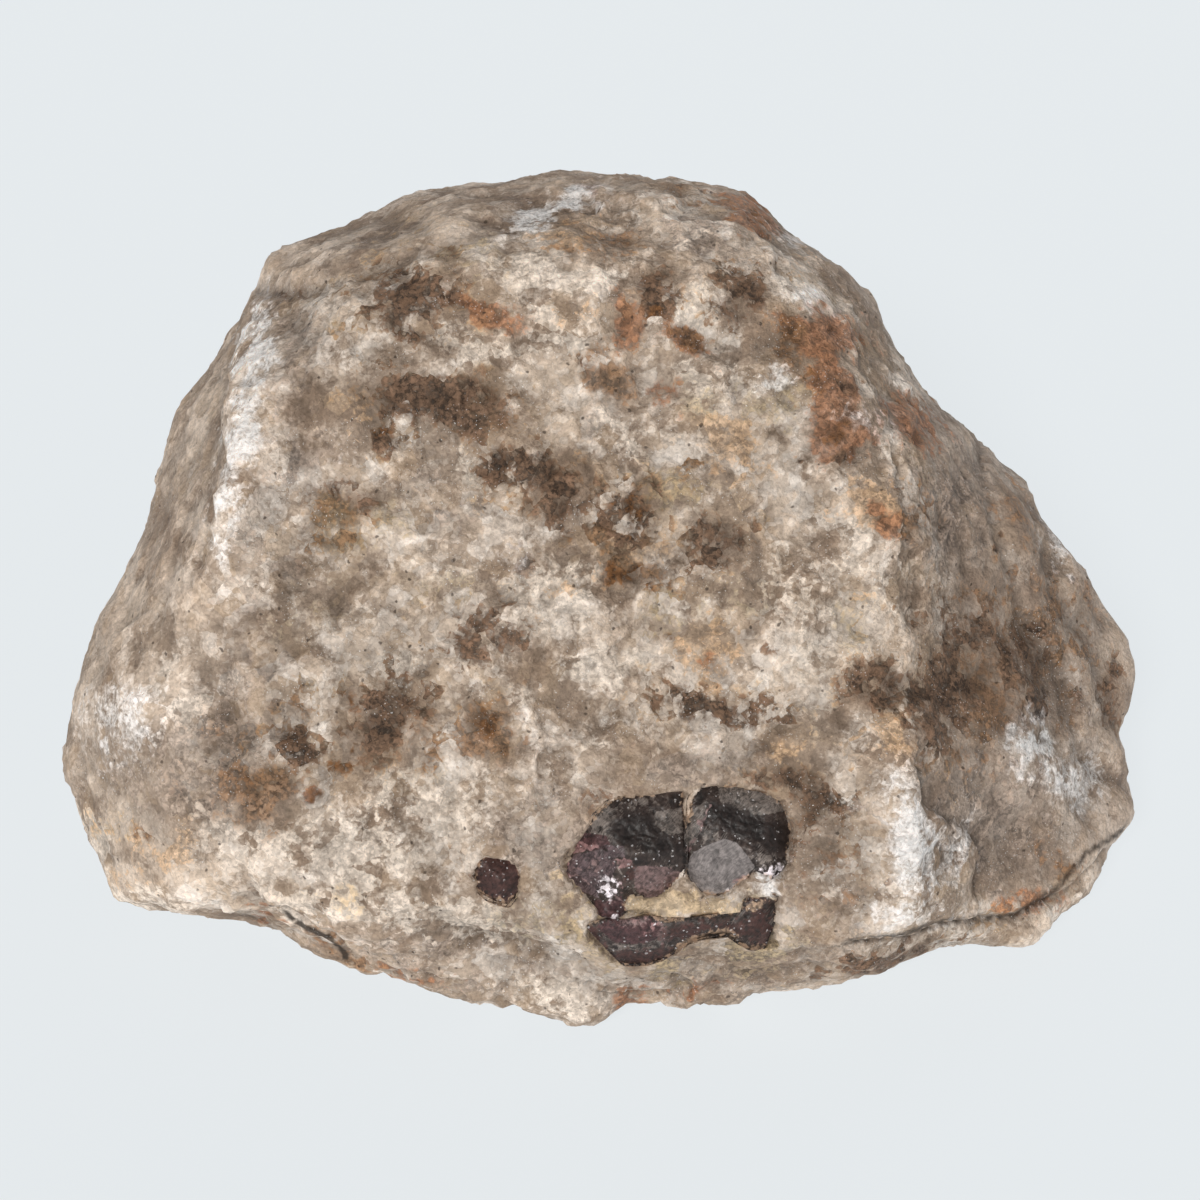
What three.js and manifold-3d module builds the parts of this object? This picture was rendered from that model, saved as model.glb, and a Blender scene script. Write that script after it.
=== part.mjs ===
// A broken block of pale, granular quartz and feldspar rock with four almandine garnets showing in
// its broad front face. Millimetres, +Z up. The block rests on a small flat spot under it.
import * as THREE from "three";
import { mergeVertices } from "three/addons/utils/BufferGeometryUtils.js";
import { ImprovedNoise } from "three/addons/math/ImprovedNoise.js";
import Module from "manifold-3d";

// Driving dimensions. The broad front face leans back from upright, and the shape is worked out in
// the face's own frame: u to the right across it, v up along it, w straight out of it.
const faceLean = THREE.MathUtils.degToRad(35);
const faceHeight = 52; // from the surface it rests on up to the face frame's origin
const eyeDistance = 326; // the outline below is the one seen from here, straight in front of the face
const heart = new THREE.Vector3(0, -3, -33); // a point deep inside the block
const surfaceSteps = 18; // subdivisions of the sphere that the block's surface is carried on
const ridgeSoftness = 1.2; // how far the ridges between two broken faces are rounded
const wallSoftness = 1.2; // the same where a face meets the outline
const rimAllowance = 0.6; // how far the edge is let out, for what the rounding takes off it
const seatGap = 0.3; // clear space between a garnet and the pocket that it sits in
const pocketReach = 30; // how far a pocket's tool runs out of the rock

// The block's outline, clockwise from its left end as seen from the front: left and bottom edges,
// right edge, top edge.
const outline = [
  [-61.9, -17.0], [-61.4, -20.1], [-59.8, -24.7], [-58.2, -28.8], [-57.3, -32.8], [-53.8, -35.8],
  [-47.1, -36.0], [-40.2, -36.6], [-34.5, -40.0], [-30.5, -41.7], [-26.2, -42.3], [-22.4, -44.0],
  [-16.7, -45.8], [-9.4, -46.5], [-6.3, -48.1], [-1.2, -49.1], [1.7, -47.6], [9.2, -47.4],
  [14.4, -46.3], [19.0, -44.9], [28.8, -44.2], [32.2, -42.9], [36.2, -40.8], [41.4, -39.1],
  [46.0, -40.0], [50.6, -39.4], [56.1, -36.3], [60.0, -31.7], [60.6, -29.0], [62.1, -26.1],
  [60.4, -19.0], [59.9, -14.7], [61.3, -10.9], [61.2, -5.8], [59.2, -1.7], [55.7, 3.7],
  [51.2, 10.0], [48.5, 13.3], [44.3, 17.2], [39.3, 22.1], [36.3, 24.8], [31.9, 31.5],
  [31.4, 33.9], [26.5, 38.3], [23.5, 41.4], [21.5, 42.7], [18.2, 45.7], [15.5, 46.9],
  [11.5, 48.1], [6.3, 48.6], [0.0, 48.9], [-3.5, 49.2], [-9.2, 48.0], [-12.7, 47.6],
  [-18.7, 47.5], [-23.6, 44.9], [-26.5, 43.4], [-33.4, 42.3], [-38.5, 39.4], [-39.3, 36.6],
  [-42.6, 30.5], [-44.2, 27.0], [-48.5, 22.8], [-49.3, 18.7], [-52.0, 12.4], [-52.2, 9.2],
  [-53.1, 6.1], [-56.8, -0.6], [-59.6, -6.1], [-60.8, -12.9], [-60.8, -15.5],
].map(([u, v]) => new THREE.Vector2(u, v));

// How deep the outline's edge lies behind the front face, by the bearing from the middle in
// degrees: 0 is the right end, 90 the top.
const rimDepth = [
  [-180, -26], [-165, -24], [-145, -18], [-115, -14], [-90, -15], [-60, -15], [-40, -18],
  [-22, -27], [-5, -33], [30, -32], [60, -30], [90, -30], [125, -34], [155, -30], [180, -26],
];
const wallSlopeOut = 0.22; // how fast the walls draw in from that edge towards the front
const wallSlopeIn = 0.3; // and towards the back

// The broken faces: a point on each, and the way it looks, turned to the right and tipped up in
// degrees from straight out of the front face.
const faces = [
  { name: "broad front", at: [0, 0, 0], turn: 0, tip: 2 },
  { name: "front, upper part", at: [6, 36, -1.6], turn: 4, tip: 26 },
  { name: "front, rolling back at the top", at: [5, 44, -7.5], turn: 6, tip: 52 },
  { name: "front, left part", at: [-36, 4, -0.6], turn: -18, tip: 2 },
  { name: "front, upper left corner", at: [-32, 34, -3], turn: -22, tip: 28 },
  { name: "left side", at: [-43.5, 12, -3.5], turn: -59, tip: 20 },
  { name: "left end", at: [-54, -14, -8], turn: -46, tip: -6 },
  { name: "low left", at: [-49, -28, -4.5], turn: -30, tip: -26 },
  { name: "shoulder right of the top", at: [30, 30, -4], turn: 34, tip: 34 },
  { name: "right side, upper", at: [34.5, 12, -1.2], turn: 50, tip: 12 },
  { name: "right side, lower", at: [36.5, -16, -0.5], turn: 42, tip: -2 },
  { name: "right end", at: [63.5, -12, -20], turn: 68, tip: 4 },
  { name: "low right", at: [50, -39.5, -8], turn: 38, tip: -40 },
  { name: "bottom band", at: [2, -41, -3], turn: 0, tip: -46 },
  { name: "back", at: [6, 22, -63], turn: 174, tip: 30 },
  { name: "back, left part", at: [-46, 14, -50], turn: -132, tip: 26 },
  { name: "back, right part", at: [42, 4, -55], turn: 138, tip: 18 },
  { name: "back, upper part", at: [-2, 51, -43], turn: 172, tip: 62 },
  { name: "back, upper left corner", at: [-28, 48, -46], turn: -142, tip: 60 },
  { name: "back, low", at: [-14, -14, -74], turn: 168, tip: -8 },
  { name: "under the left end", at: [-60, -38, -20], turn: -120, tip: -50 },
  { name: "under the right end", at: [64, -46, -26], turn: 128, tip: -46 },
];

// The underside falls in to the small flat spot that the block rests on: a point on each of its
// faces in the block's own frame, the bearing that the face rises towards in degrees, 0 to the
// right and 90 to the back, and how steeply.
const undersides = [
  { name: "underside, left", at: [-19, 26, -1.2], towards: 188, rise: 9.5 },
  { name: "underside, right", at: [15, 24, -1.2], towards: -6, rise: 9 },
  { name: "underside, back", at: [-2, 42, -1.2], towards: 84, rise: 14 },
  { name: "underside, front", at: [0, 11, -1.2], towards: -86, rise: 9 },
];

// Lumps and hollows that stand out of the faces: middle (u, v), half-widths across and up, turn of
// the long side in degrees, and height, negative for a hollow.
const lumps = [
  { name: "lump on the left ridge", at: [-41.5, 16], wide: 3.2, high: 13, turn: -10, height: 2 },
  { name: "hollow right of the left ridge", at: [-33, 12], wide: 5, high: 14, turn: -6, height: -1.3 },
  { name: "bulge over the left end", at: [-55, -13], wide: 5, high: 7, turn: 20, height: 1.6 },
  { name: "hollow behind the top ridge", at: [-31, 35.5], wide: 9, high: 2.6, turn: 14, height: -2.6 },
  { name: "hollow under the brown band", at: [-22, 22], wide: 6, high: 3, turn: -8, height: -0.8 },
  { name: "swell in the middle", at: [8, 2], wide: 18, high: 14, turn: 20, height: 0.9 },
  { name: "hollow along the right ridge", at: [41, -4], wide: 4, high: 12, turn: 8, height: -1.6 },
  { name: "lump on the right side", at: [52, -20], wide: 6, high: 5, turn: 0, height: 1.8 },
  { name: "nose of the right ridge", at: [36, -28], wide: 4.5, high: 8, turn: 12, height: 1.8 },
  { name: "hollow beside the nose", at: [43.5, -29], wide: 3, high: 7, turn: 18, height: -1.4 },
  { name: "hollow right of the garnets", at: [27, -27], wide: 4, high: 6, turn: 0, height: -0.9 },
  { name: "ledge above the garnets", at: [13, -18], wide: 13, high: 2.4, turn: 0, height: 0.9 },
  { name: "pale lobe at the bottom", at: [-4, -46], wide: 5, high: 2.4, turn: -20, height: 1.6 },
  { name: "dip over the small garnet", at: [-12, -32], wide: 4.5, high: 4.5, turn: 0, height: -0.5 },
];

// The same on the back, by the distance to the right as seen from the front and the height above
// the ground.
const rearLumps = [
  { name: "shoulder over the back ledge", at: [-20, 52], wide: 17, high: 8, turn: 18, height: 3 },
  { name: "hollow under the ledge", at: [-12, 34], wide: 18, high: 6, turn: 14, height: -3.4 },
  { name: "boss low on the back", at: [16, 20], wide: 12, high: 9, turn: -20, height: 3.2 },
  { name: "hollow high on the right", at: [26, 54], wide: 8, high: 11, turn: 30, height: -2.6 },
  { name: "hollow at the foot", at: [-32, 15], wide: 9, high: 7, turn: 0, height: -2.2 },
  { name: "knob at the right", at: [42, 32], wide: 6, high: 8, turn: 10, height: 2.2 },
];

// Cracks and steps: a line on the front, how wide and how deep it is cut, and how much the ground
// to the right of the way it runs drops.
const cracks = [
  {
    name: "step behind the top ridge",
    line: [[-1, 49.5], [-5.9, 46.2], [-10, 41.5], [-19.1, 39.2], [-28.8, 37], [-34.5, 36], [-41, 36.4]],
    width: 1.6, depth: 0.9, drop: 2.6,
  },
  {
    name: "crack over the lower right lobe",
    line: [[61, -27], [56, -29.5], [52, -33.5], [47, -36.5], [39, -37.5], [33, -40]],
    width: 1.5, depth: 2.2, drop: 1.2,
  },
  {
    name: "step over the lower left tier",
    line: [[-41, -36], [-35, -37], [-30, -39.5], [-26, -41.5]],
    width: 1.4, depth: 2, drop: 1.4,
  },
  {
    name: "fold lines at the right end",
    line: [[47, 2], [51, -6], [54, -14], [57, -21]],
    width: 1.3, depth: 1.2, drop: 0.4,
  },
  {
    name: "bedding line over the bottom band",
    line: [[-20, -38.6], [-12, -39], [-6, -40.5], [-2, -43], [6, -44.5], [18, -43.6]],
    width: 1.3, depth: 1, drop: 0.9,
  },
];

// Cracks and steps on the back, in the same terms as its lumps.
const rearCracks = [
  {
    name: "step across the back",
    line: [[54, 24], [36, 27], [20, 34], [4, 38], [-16, 40], [-34, 47], [-46, 50]],
    width: 2.2, depth: 0.6, drop: -2.8,
  },
  {
    name: "fracture down the back",
    line: [[12, 76], [9, 62], [13, 50], [6, 38], [10, 24], [2, 12]],
    width: 1.6, depth: 2, drop: 1.6,
  },
];

// The rock's grain in the surface: size of the bumps and how far they stand, coarse to fine.
const grain = [
  { size: 21, height: 1.5 },
  { size: 9, height: 0.8 },
  { size: 4.6, height: 0.45 },
];
const rimGrainShare = 0.35; // share of the finer grain that also moves the outline

// The garnets: outline of each where it leaves the rock, the facets that cut its front, and how
// deep it is seated. A facet is a point on it and the way it looks, as for the broken faces.
const garnets = [
  {
    name: "garnet_upper_left",
    outline: [
      [-4.3, -31.3], [-2.8, -28.1], [-1.0, -25.3], [1.0, -23.3], [3.8, -22.7], [9.5, -21.5],
      [9.7, -26.0], [9.6, -30.6], [8.9, -32.2], [7.6, -33.6], [6.1, -34.6], [3.2, -34.2],
      [2.8, -35.6], [1.8, -36.3], [0.3, -36.0], [-1.4, -34.7], [-3.3, -32.9],
    ],
    facets: [
      { at: [5.5, -26.5, 1.7], turn: 6, tip: 14 },
      { at: [0.5, -31.2, 1.3], turn: -24, tip: -8 },
      { at: [5.5, -32, 1.3], turn: 6, tip: -18 },
    ],
    seat: 9,
  },
  {
    name: "garnet_upper_right",
    outline: [
      [10.4, -22.8], [11.9, -21.5], [14.3, -21.1], [17.2, -21.3], [20.0, -22.1], [21.4, -23.5],
      [22.1, -25.6], [21.4, -29.2], [20.6, -30.7], [19.0, -31.9], [17.2, -32.4], [15.9, -33.4],
      [14.0, -34.0], [12.0, -33.7], [10.7, -32.7], [10.2, -31.1], [10.1, -27.0],
    ],
    facets: [
      { at: [16, -25.5, 1.6], turn: 4, tip: 14 },
      { at: [20, -26, 1.0], turn: 28, tip: 8 },
      { at: [14, -30.8, 1.5], turn: -8, tip: -10 },
    ],
    seat: 9,
  },
  {
    name: "garnet_lower",
    outline: [
      [-2.1, -38.4], [-1.2, -37.5], [0.8, -37.1], [2.8, -37.2], [5.5, -36.6], [7.4, -36.9],
      [10.1, -36.9], [14.0, -36.3], [15.9, -36.1], [16.6, -35.2], [17.0, -34.4], [18.7, -34.0],
      [20.5, -34.2], [20.1, -36.3], [20.4, -38.4], [20.1, -39.6], [17.4, -40.0], [16.0, -39.2],
      [14.8, -38.3], [11.7, -38.6], [10.1, -39.2], [8.9, -40.2], [7.0, -41.4], [5.3, -42.0],
      [3.0, -42.1], [0.7, -40.8], [-1.0, -39.6],
    ],
    facets: [
      { at: [5, -38.6, 0.1], turn: -6, tip: -34 },
      { at: [18, -36.6, 0.7], turn: 10, tip: -16 },
    ],
    seat: 7,
  },
  {
    name: "garnet_small",
    outline: [
      [-14.4, -31.3], [-13.6, -29.5], [-11.8, -29.1], [-9.9, -29.8], [-9.1, -31.2],
      [-9.2, -33.2], [-10.6, -35.0], [-12.8, -34.3], [-14.2, -33.1],
    ],
    facets: [
      { at: [-11.8, -31.6, 1.2], turn: 2, tip: 20 },
      { at: [-11.8, -32.2, 1.2], turn: -24, tip: -10 },
      { at: [-11.4, -32.2, 1.2], turn: 22, tip: -12 },
    ],
    seat: 5,
  },
];

const rockColour = 0xb3a496;
const garnetColour = 0x3b2a30;

const wasm = await Module();
wasm.setup();
const perlin = new ImprovedNoise();

// The way a face looks, from its turn and tip in degrees.
function lookOf({ turn, tip }) {
  const t = THREE.MathUtils.degToRad(turn);
  const p = THREE.MathUtils.degToRad(tip);
  return new THREE.Vector3(Math.sin(t) * Math.cos(p), Math.sin(p), Math.cos(t) * Math.cos(p));
}

// From the face's frame to the block's own frame.
function faceToBlock() {
  const across = new THREE.Vector3(1, 0, 0);
  const up = new THREE.Vector3(0, Math.sin(faceLean), Math.cos(faceLean));
  const out = new THREE.Vector3(0, -Math.cos(faceLean), Math.sin(faceLean));
  return new THREE.Matrix4().makeBasis(across, up, out).setPosition(0, 0, faceHeight);
}
const toBlock = faceToBlock();
const toFace = toBlock.clone().invert();

// Distance from a point to a line of points, with the side it lies on: positive to the left of it.
function besideLine(point, line) {
  let nearest = Infinity;
  let side = 0;
  for (let i = 0; i + 1 < line.length; i++) {
    const a = line[i];
    const along = line[i + 1].clone().sub(a);
    const from = point.clone().sub(a);
    const share = THREE.MathUtils.clamp(from.dot(along) / along.lengthSq(), 0, 1);
    const gap = from.distanceTo(along.clone().multiplyScalar(share));
    if (gap < nearest) {
      nearest = gap;
      side = Math.sign(along.x * from.y - along.y * from.x);
    }
  }
  return { gap: nearest, side };
}

// Distance to the outline, negative inside it.
const closedOutline = [...outline, outline[0]];
function outsideOutline(point) {
  let inside = false;
  for (let i = 0, j = outline.length - 1; i < outline.length; j = i++) {
    const a = outline[i];
    const b = outline[j];
    if (a.y > point.y !== b.y > point.y && point.x < ((b.x - a.x) * (point.y - a.y)) / (b.y - a.y) + a.x)
      inside = !inside;
  }
  const { gap } = besideLine(point, closedOutline);
  return inside ? -gap : gap;
}

// The depth of the outline's edge at a bearing, smooth between the bearings listed.
function edgeDepth(u, v) {
  const bearing = THREE.MathUtils.radToDeg(Math.atan2(v, u));
  const next = Math.max(1, rimDepth.findIndex(([b]) => b >= bearing));
  const [b0, d0] = rimDepth[next - 1];
  const [b1, d1] = rimDepth[next];
  return THREE.MathUtils.lerp(d0, d1, THREE.MathUtils.smoothstep(bearing, b0, b1));
}

function lumpHeight(placed, u, v) {
  return placed.reduce((sum, { at, wide, high, turn, height }) => {
    const t = THREE.MathUtils.degToRad(turn);
    const du = u - at[0];
    const dv = v - at[1];
    const across = (du * Math.cos(t) + dv * Math.sin(t)) / wide;
    const along = (dv * Math.cos(t) - du * Math.sin(t)) / high;
    return sum + height * Math.exp(-across * across - along * along);
  }, 0);
}

const asPoints = (crack) => ({ ...crack, line: crack.line.map(([u, v]) => new THREE.Vector2(u, v)) });
const frontCracks = cracks.map(asPoints);
const backCracks = rearCracks.map(asPoints);
function crackDepth(placed, u, v) {
  const point = new THREE.Vector2(u, v);
  return placed.reduce((sum, { line, width, depth, drop }) => {
    const { gap, side } = besideLine(point, line);
    const cut = depth * Math.exp(-((gap / width) ** 2));
    const below = 1 - THREE.MathUtils.smoothstep(side * gap, -width, width);
    const step = drop * below * Math.exp(-((gap / (4 * width)) ** 2));
    return sum + cut + step;
  }, 0);
}

function grainHeight(p, layers) {
  return layers.reduce(
    (sum, { size, height }, i) =>
      sum + height * perlin.noise(p.x / size + 7.3 * i, p.y / size + 3.1, p.z / size + 11.7 * i),
    0,
  );
}

function softMax(a, b, softness) {
  const high = Math.max(a, b);
  return high + softness * Math.log(Math.exp((a - high) / softness) + Math.exp((b - high) / softness));
}

// The way an underside's face looks, turned into the face's frame.
function lookUnder({ towards, rise }) {
  const t = THREE.MathUtils.degToRad(towards);
  const r = THREE.MathUtils.degToRad(rise);
  const look = new THREE.Vector3(Math.cos(t) * Math.sin(r), Math.sin(t) * Math.sin(r), -Math.cos(r));
  return look.transformDirection(toFace);
}

const planeOf = (at, look) => ({ look, reach: look.dot(at) });
const brokenFaces = [
  ...faces.map((face) => planeOf(new THREE.Vector3(...face.at), lookOf(face))),
  ...undersides.map((face) => planeOf(new THREE.Vector3(...face.at).applyMatrix4(toFace), lookUnder(face))),
];

// How far a point of the face's frame lies outside the rock, negative inside it.
function outsideRock(p) {
  const gaps = brokenFaces.map(({ look, reach }) => look.dot(p) - reach);
  const widest = Math.max(...gaps);
  const crowding = gaps.reduce((sum, gap) => sum + Math.exp((gap - widest) / ridgeSoftness), 0);
  const blended = widest + ridgeSoftness * Math.log(crowding);
  const shrink = eyeDistance / (eyeDistance - p.z);
  const u = p.x * shrink;
  const v = p.y * shrink;
  const front = THREE.MathUtils.smoothstep(p.z, -30, -14);
  const placed = p.clone().applyMatrix4(toBlock);
  const rear = THREE.MathUtils.smoothstep(placed.y, 20, 44);
  const relief =
    front * (lumpHeight(lumps, u, v) - crackDepth(frontCracks, u, v)) +
    rear * (lumpHeight(rearLumps, placed.x, placed.z) - crackDepth(backCracks, placed.x, placed.z));
  const surface = blended - relief - grainHeight(p, grain);
  const behindEdge = p.z - edgeDepth(u, v);
  const slope = behindEdge > 0 ? wallSlopeOut : wallSlopeIn;
  const wall =
    outsideOutline(new THREE.Vector2(u, v)) / shrink -
    rimAllowance +
    slope * (Math.hypot(behindEdge, 4) - 4) -
    rimGrainShare * grainHeight(p, grain.slice(1));
  return softMax(surface, wall, wallSoftness);
}

// Where a ray from the heart of the block leaves the rock.
function surfaceAt(direction) {
  let inner = 4;
  let outer = 110;
  for (let i = 0; i < 26; i++) {
    const middle = (inner + outer) / 2;
    const point = direction.clone().multiplyScalar(middle).add(heart);
    if (outsideRock(point) < 0) inner = middle;
    else outer = middle;
  }
  return direction.clone().multiplyScalar(inner).add(heart);
}

// A closed three.js geometry as a solid, and back.
function solidOf(geometry) {
  geometry.deleteAttribute("normal");
  geometry.deleteAttribute("uv");
  const merged = mergeVertices(geometry, 1e-4);
  return new wasm.Manifold(
    new wasm.Mesh({
      numProp: 3,
      vertProperties: merged.attributes.position.array,
      triVerts: new Uint32Array(merged.index.array),
    }),
  );
}

function geometryOf(solid) {
  const { numProp, vertProperties, triVerts } = solid.getMesh();
  const count = vertProperties.length / numProp;
  const position = new Float32Array(count * 3);
  for (let i = 0; i < count; i++) position.set(vertProperties.subarray(i * numProp, i * numProp + 3), i * 3);
  const geometry = new THREE.BufferGeometry();
  geometry.setAttribute("position", new THREE.BufferAttribute(position, 3));
  geometry.setIndex(new THREE.BufferAttribute(triVerts, 1));
  geometry.computeVertexNormals();
  return geometry;
}

// Everything on the outer side of a plane, as a box that is larger than the block.
function outerSide(at, look) {
  const size = 300;
  const box = new THREE.BoxGeometry(size, size, size);
  box.translate(0, 0, size / 2);
  const turn = new THREE.Quaternion().setFromUnitVectors(new THREE.Vector3(0, 0, 1), look);
  box.applyMatrix4(new THREE.Matrix4().makeRotationFromQuaternion(turn).setPosition(at));
  return solidOf(box);
}

function rockSolid() {
  const ball = new THREE.IcosahedronGeometry(1, surfaceSteps);
  ball.deleteAttribute("normal");
  ball.deleteAttribute("uv");
  const surface = mergeVertices(ball, 1e-5);
  const position = surface.attributes.position;
  const point = new THREE.Vector3();
  for (let i = 0; i < position.count; i++) {
    point.fromBufferAttribute(position, i).normalize();
    const placed = surfaceAt(point).applyMatrix4(toBlock);
    position.setXYZ(i, placed.x, placed.y, placed.z);
  }
  const ground = outerSide(new THREE.Vector3(0, 0, 0), new THREE.Vector3(0, 0, -1));
  return solidOf(surface).subtract(ground);
}

// An outline moved outwards by a distance, corner by corner. It runs anticlockwise.
function grown(points, distance) {
  return points.map((corner, i) => {
    const before = points[(i + points.length - 1) % points.length];
    const after = points[(i + 1) % points.length];
    const into = corner.clone().sub(before).normalize();
    const away = after.clone().sub(corner).normalize();
    const normal = new THREE.Vector2(into.y + away.y, -into.x - away.x).normalize();
    const reach = distance / Math.max(0.5, normal.dot(new THREE.Vector2(into.y, -into.x)));
    return corner.clone().addScaledVector(normal, reach);
  });
}

// A garnet, or with grow over 0 the tool that cuts its pocket.
function garnetSolid({ outline: picked, facets, seat }, grow) {
  const corners = picked.map(([u, v]) => new THREE.Vector2(u, v));
  if (THREE.ShapeUtils.isClockWise(corners)) corners.reverse();
  const shape = new THREE.Shape(grow > 0 ? grown(corners, grow) : corners);
  const height = seat + grow + pocketReach;
  const prism = new THREE.ExtrudeGeometry(shape, { depth: height, bevelEnabled: false });
  prism.translate(0, 0, -seat - grow);
  let solid = solidOf(prism);
  const middle = new THREE.Box2().setFromPoints(corners).getCenter(new THREE.Vector2());
  const rear = new THREE.Vector3(middle.x, middle.y, -seat);
  for (const [turn, tip] of [[146, 0], [-146, 0], [180, 34], [180, -34]]) {
    const look = lookOf({ turn, tip });
    solid = solid.subtract(outerSide(rear.clone().addScaledVector(look, grow), look));
  }
  if (grow === 0)
    for (const facet of facets)
      solid = solid.subtract(outerSide(new THREE.Vector3(...facet.at), lookOf(facet)));
  return solid.transform(toBlock.elements);
}

function meshOf(solid, name, colour, roughness) {
  const material = new THREE.MeshStandardMaterial({ color: colour, roughness, metalness: 0 });
  const mesh = new THREE.Mesh(geometryOf(solid), material);
  mesh.name = name;
  return mesh;
}

const block = new THREE.Group();
let matrix = rockSolid();
for (const garnet of garnets) {
  matrix = matrix.subtract(garnetSolid(garnet, seatGap));
  block.add(meshOf(garnetSolid(garnet, 0), garnet.name, garnetColour, 0.45));
}
const rock = meshOf(matrix, "matrix", rockColour, 0.75);
block.add(rock);

// The origin is the middle of the block's footprint, on the surface that it rests on.
rock.geometry.computeBoundingBox();
const footprint = rock.geometry.boundingBox.getCenter(new THREE.Vector3());
block.position.set(-footprint.x, -footprint.y, 0);

export default block;
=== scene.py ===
# A hand specimen: a broken block of pale granular rock with four dark garnets in its front face.
import math
import bpy
import numpy as np
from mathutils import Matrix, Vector, noise
from mathutils.bvhtree import BVHTree


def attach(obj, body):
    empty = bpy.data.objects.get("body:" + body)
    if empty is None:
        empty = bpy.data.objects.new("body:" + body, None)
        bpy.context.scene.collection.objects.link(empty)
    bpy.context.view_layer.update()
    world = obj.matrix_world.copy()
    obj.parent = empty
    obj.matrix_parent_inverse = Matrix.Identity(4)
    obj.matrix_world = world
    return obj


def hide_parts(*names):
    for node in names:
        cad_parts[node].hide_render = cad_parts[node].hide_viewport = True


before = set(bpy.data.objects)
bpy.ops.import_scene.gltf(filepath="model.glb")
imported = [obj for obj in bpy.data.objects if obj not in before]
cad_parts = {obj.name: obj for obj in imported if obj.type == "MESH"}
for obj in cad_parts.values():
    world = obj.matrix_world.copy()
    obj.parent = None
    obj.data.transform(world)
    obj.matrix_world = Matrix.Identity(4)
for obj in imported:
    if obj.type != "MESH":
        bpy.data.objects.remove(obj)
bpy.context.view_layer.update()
noise.seed_set(5)  # without it, noise.noise_vector differs from run to run

mm = 0.001
# The front face's own frame: where its middle is, how far it leans back, and how far off the eye is.
face = {"middle": (-0.345, -24.761, 52.0), "lean": 35.0, "eye": 326.0}
# The picture of the front, 1200 pixels wide, and how many millimetres one pixel covers on it.
picture = {"middle": 600.0, "pixel": 0.115}
lean = math.radians(face["lean"])
middle = np.array(face["middle"])
across = np.array((1.0, 0.0, 0.0))
upward = np.array((0.0, math.sin(lean), math.cos(lean)))
outward = np.array((0.0, -math.cos(lean), math.sin(lean)))
eye = middle + outward * face["eye"]

# The rock, in millimetres where it says nothing else.
rock = {
    "steps": 99,  # how finely the ball that the surface is carried on is divided
    "heart": (-0.3, 0.6, 30.6),  # a point deep inside, from which the surface is carried out
    "outside": 200.0,  # how far out the surface is looked for from
    "towardsFront": 0.3,  # how much denser the points are at the front
    "garnetZone": (6.0, -31.0),  # where on the face they are denser still
    "zoneReach": 0.5,
    "zoneShare": 0.5,
    "smoothing": 26,  # rounds over the whole surface
    "seatSmoothing": 140,  # rounds along the garnets' borders
    "seatWidth": 0.9,
    "seatDepth": -12.0,  # how far behind the face that still goes
    "calmBySeats": 0.7,  # how much of the relief is lost beside the garnets
    "calmByAreas": 0.55,  # and in the smoother areas
    "sunk": 1.5,  # how far the rock lies below the garnets
    "level": 3.5,  # height above the ground at which the relief stands in full
    # painted shade in the hollows and painted light on sharp edges, full at the next depth
    "hollow": 0.3,  # the depth of a full hollow
    "pit": 0.6,  # the depth of a pit
    # cracks are darkened with painted shadow, in proportion to their depth
    "crackDark": 0.6,  # how dark a crack is for each millimetre of its depth
}

# Relief, coarse to fine: size of the forms and how far they stand, in millimetres.
swells = [
    {"size": 13.0, "height": 0.95, "seed": 3.0},
    {"size": 5.5, "height": 0.34, "seed": 11.0},
    {"size": 2.6, "height": 0.11, "seed": 23.0},
    {"size": 1.2, "height": 0.07, "seed": 31.0},
]
chips = [
    {"size": 8.0, "slope": 0.13, "tone": 0.35, "seed": 41.0},
    {"size": 3.6, "slope": 0.16, "tone": 0.7, "seed": 53.0},
    {"size": 1.7, "slope": 0.1, "tone": 0.5, "seed": 67.0},
]
ledges = {"size": 19.0, "levels": 5.0, "height": 0.4, "seed": 71.0}
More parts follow.
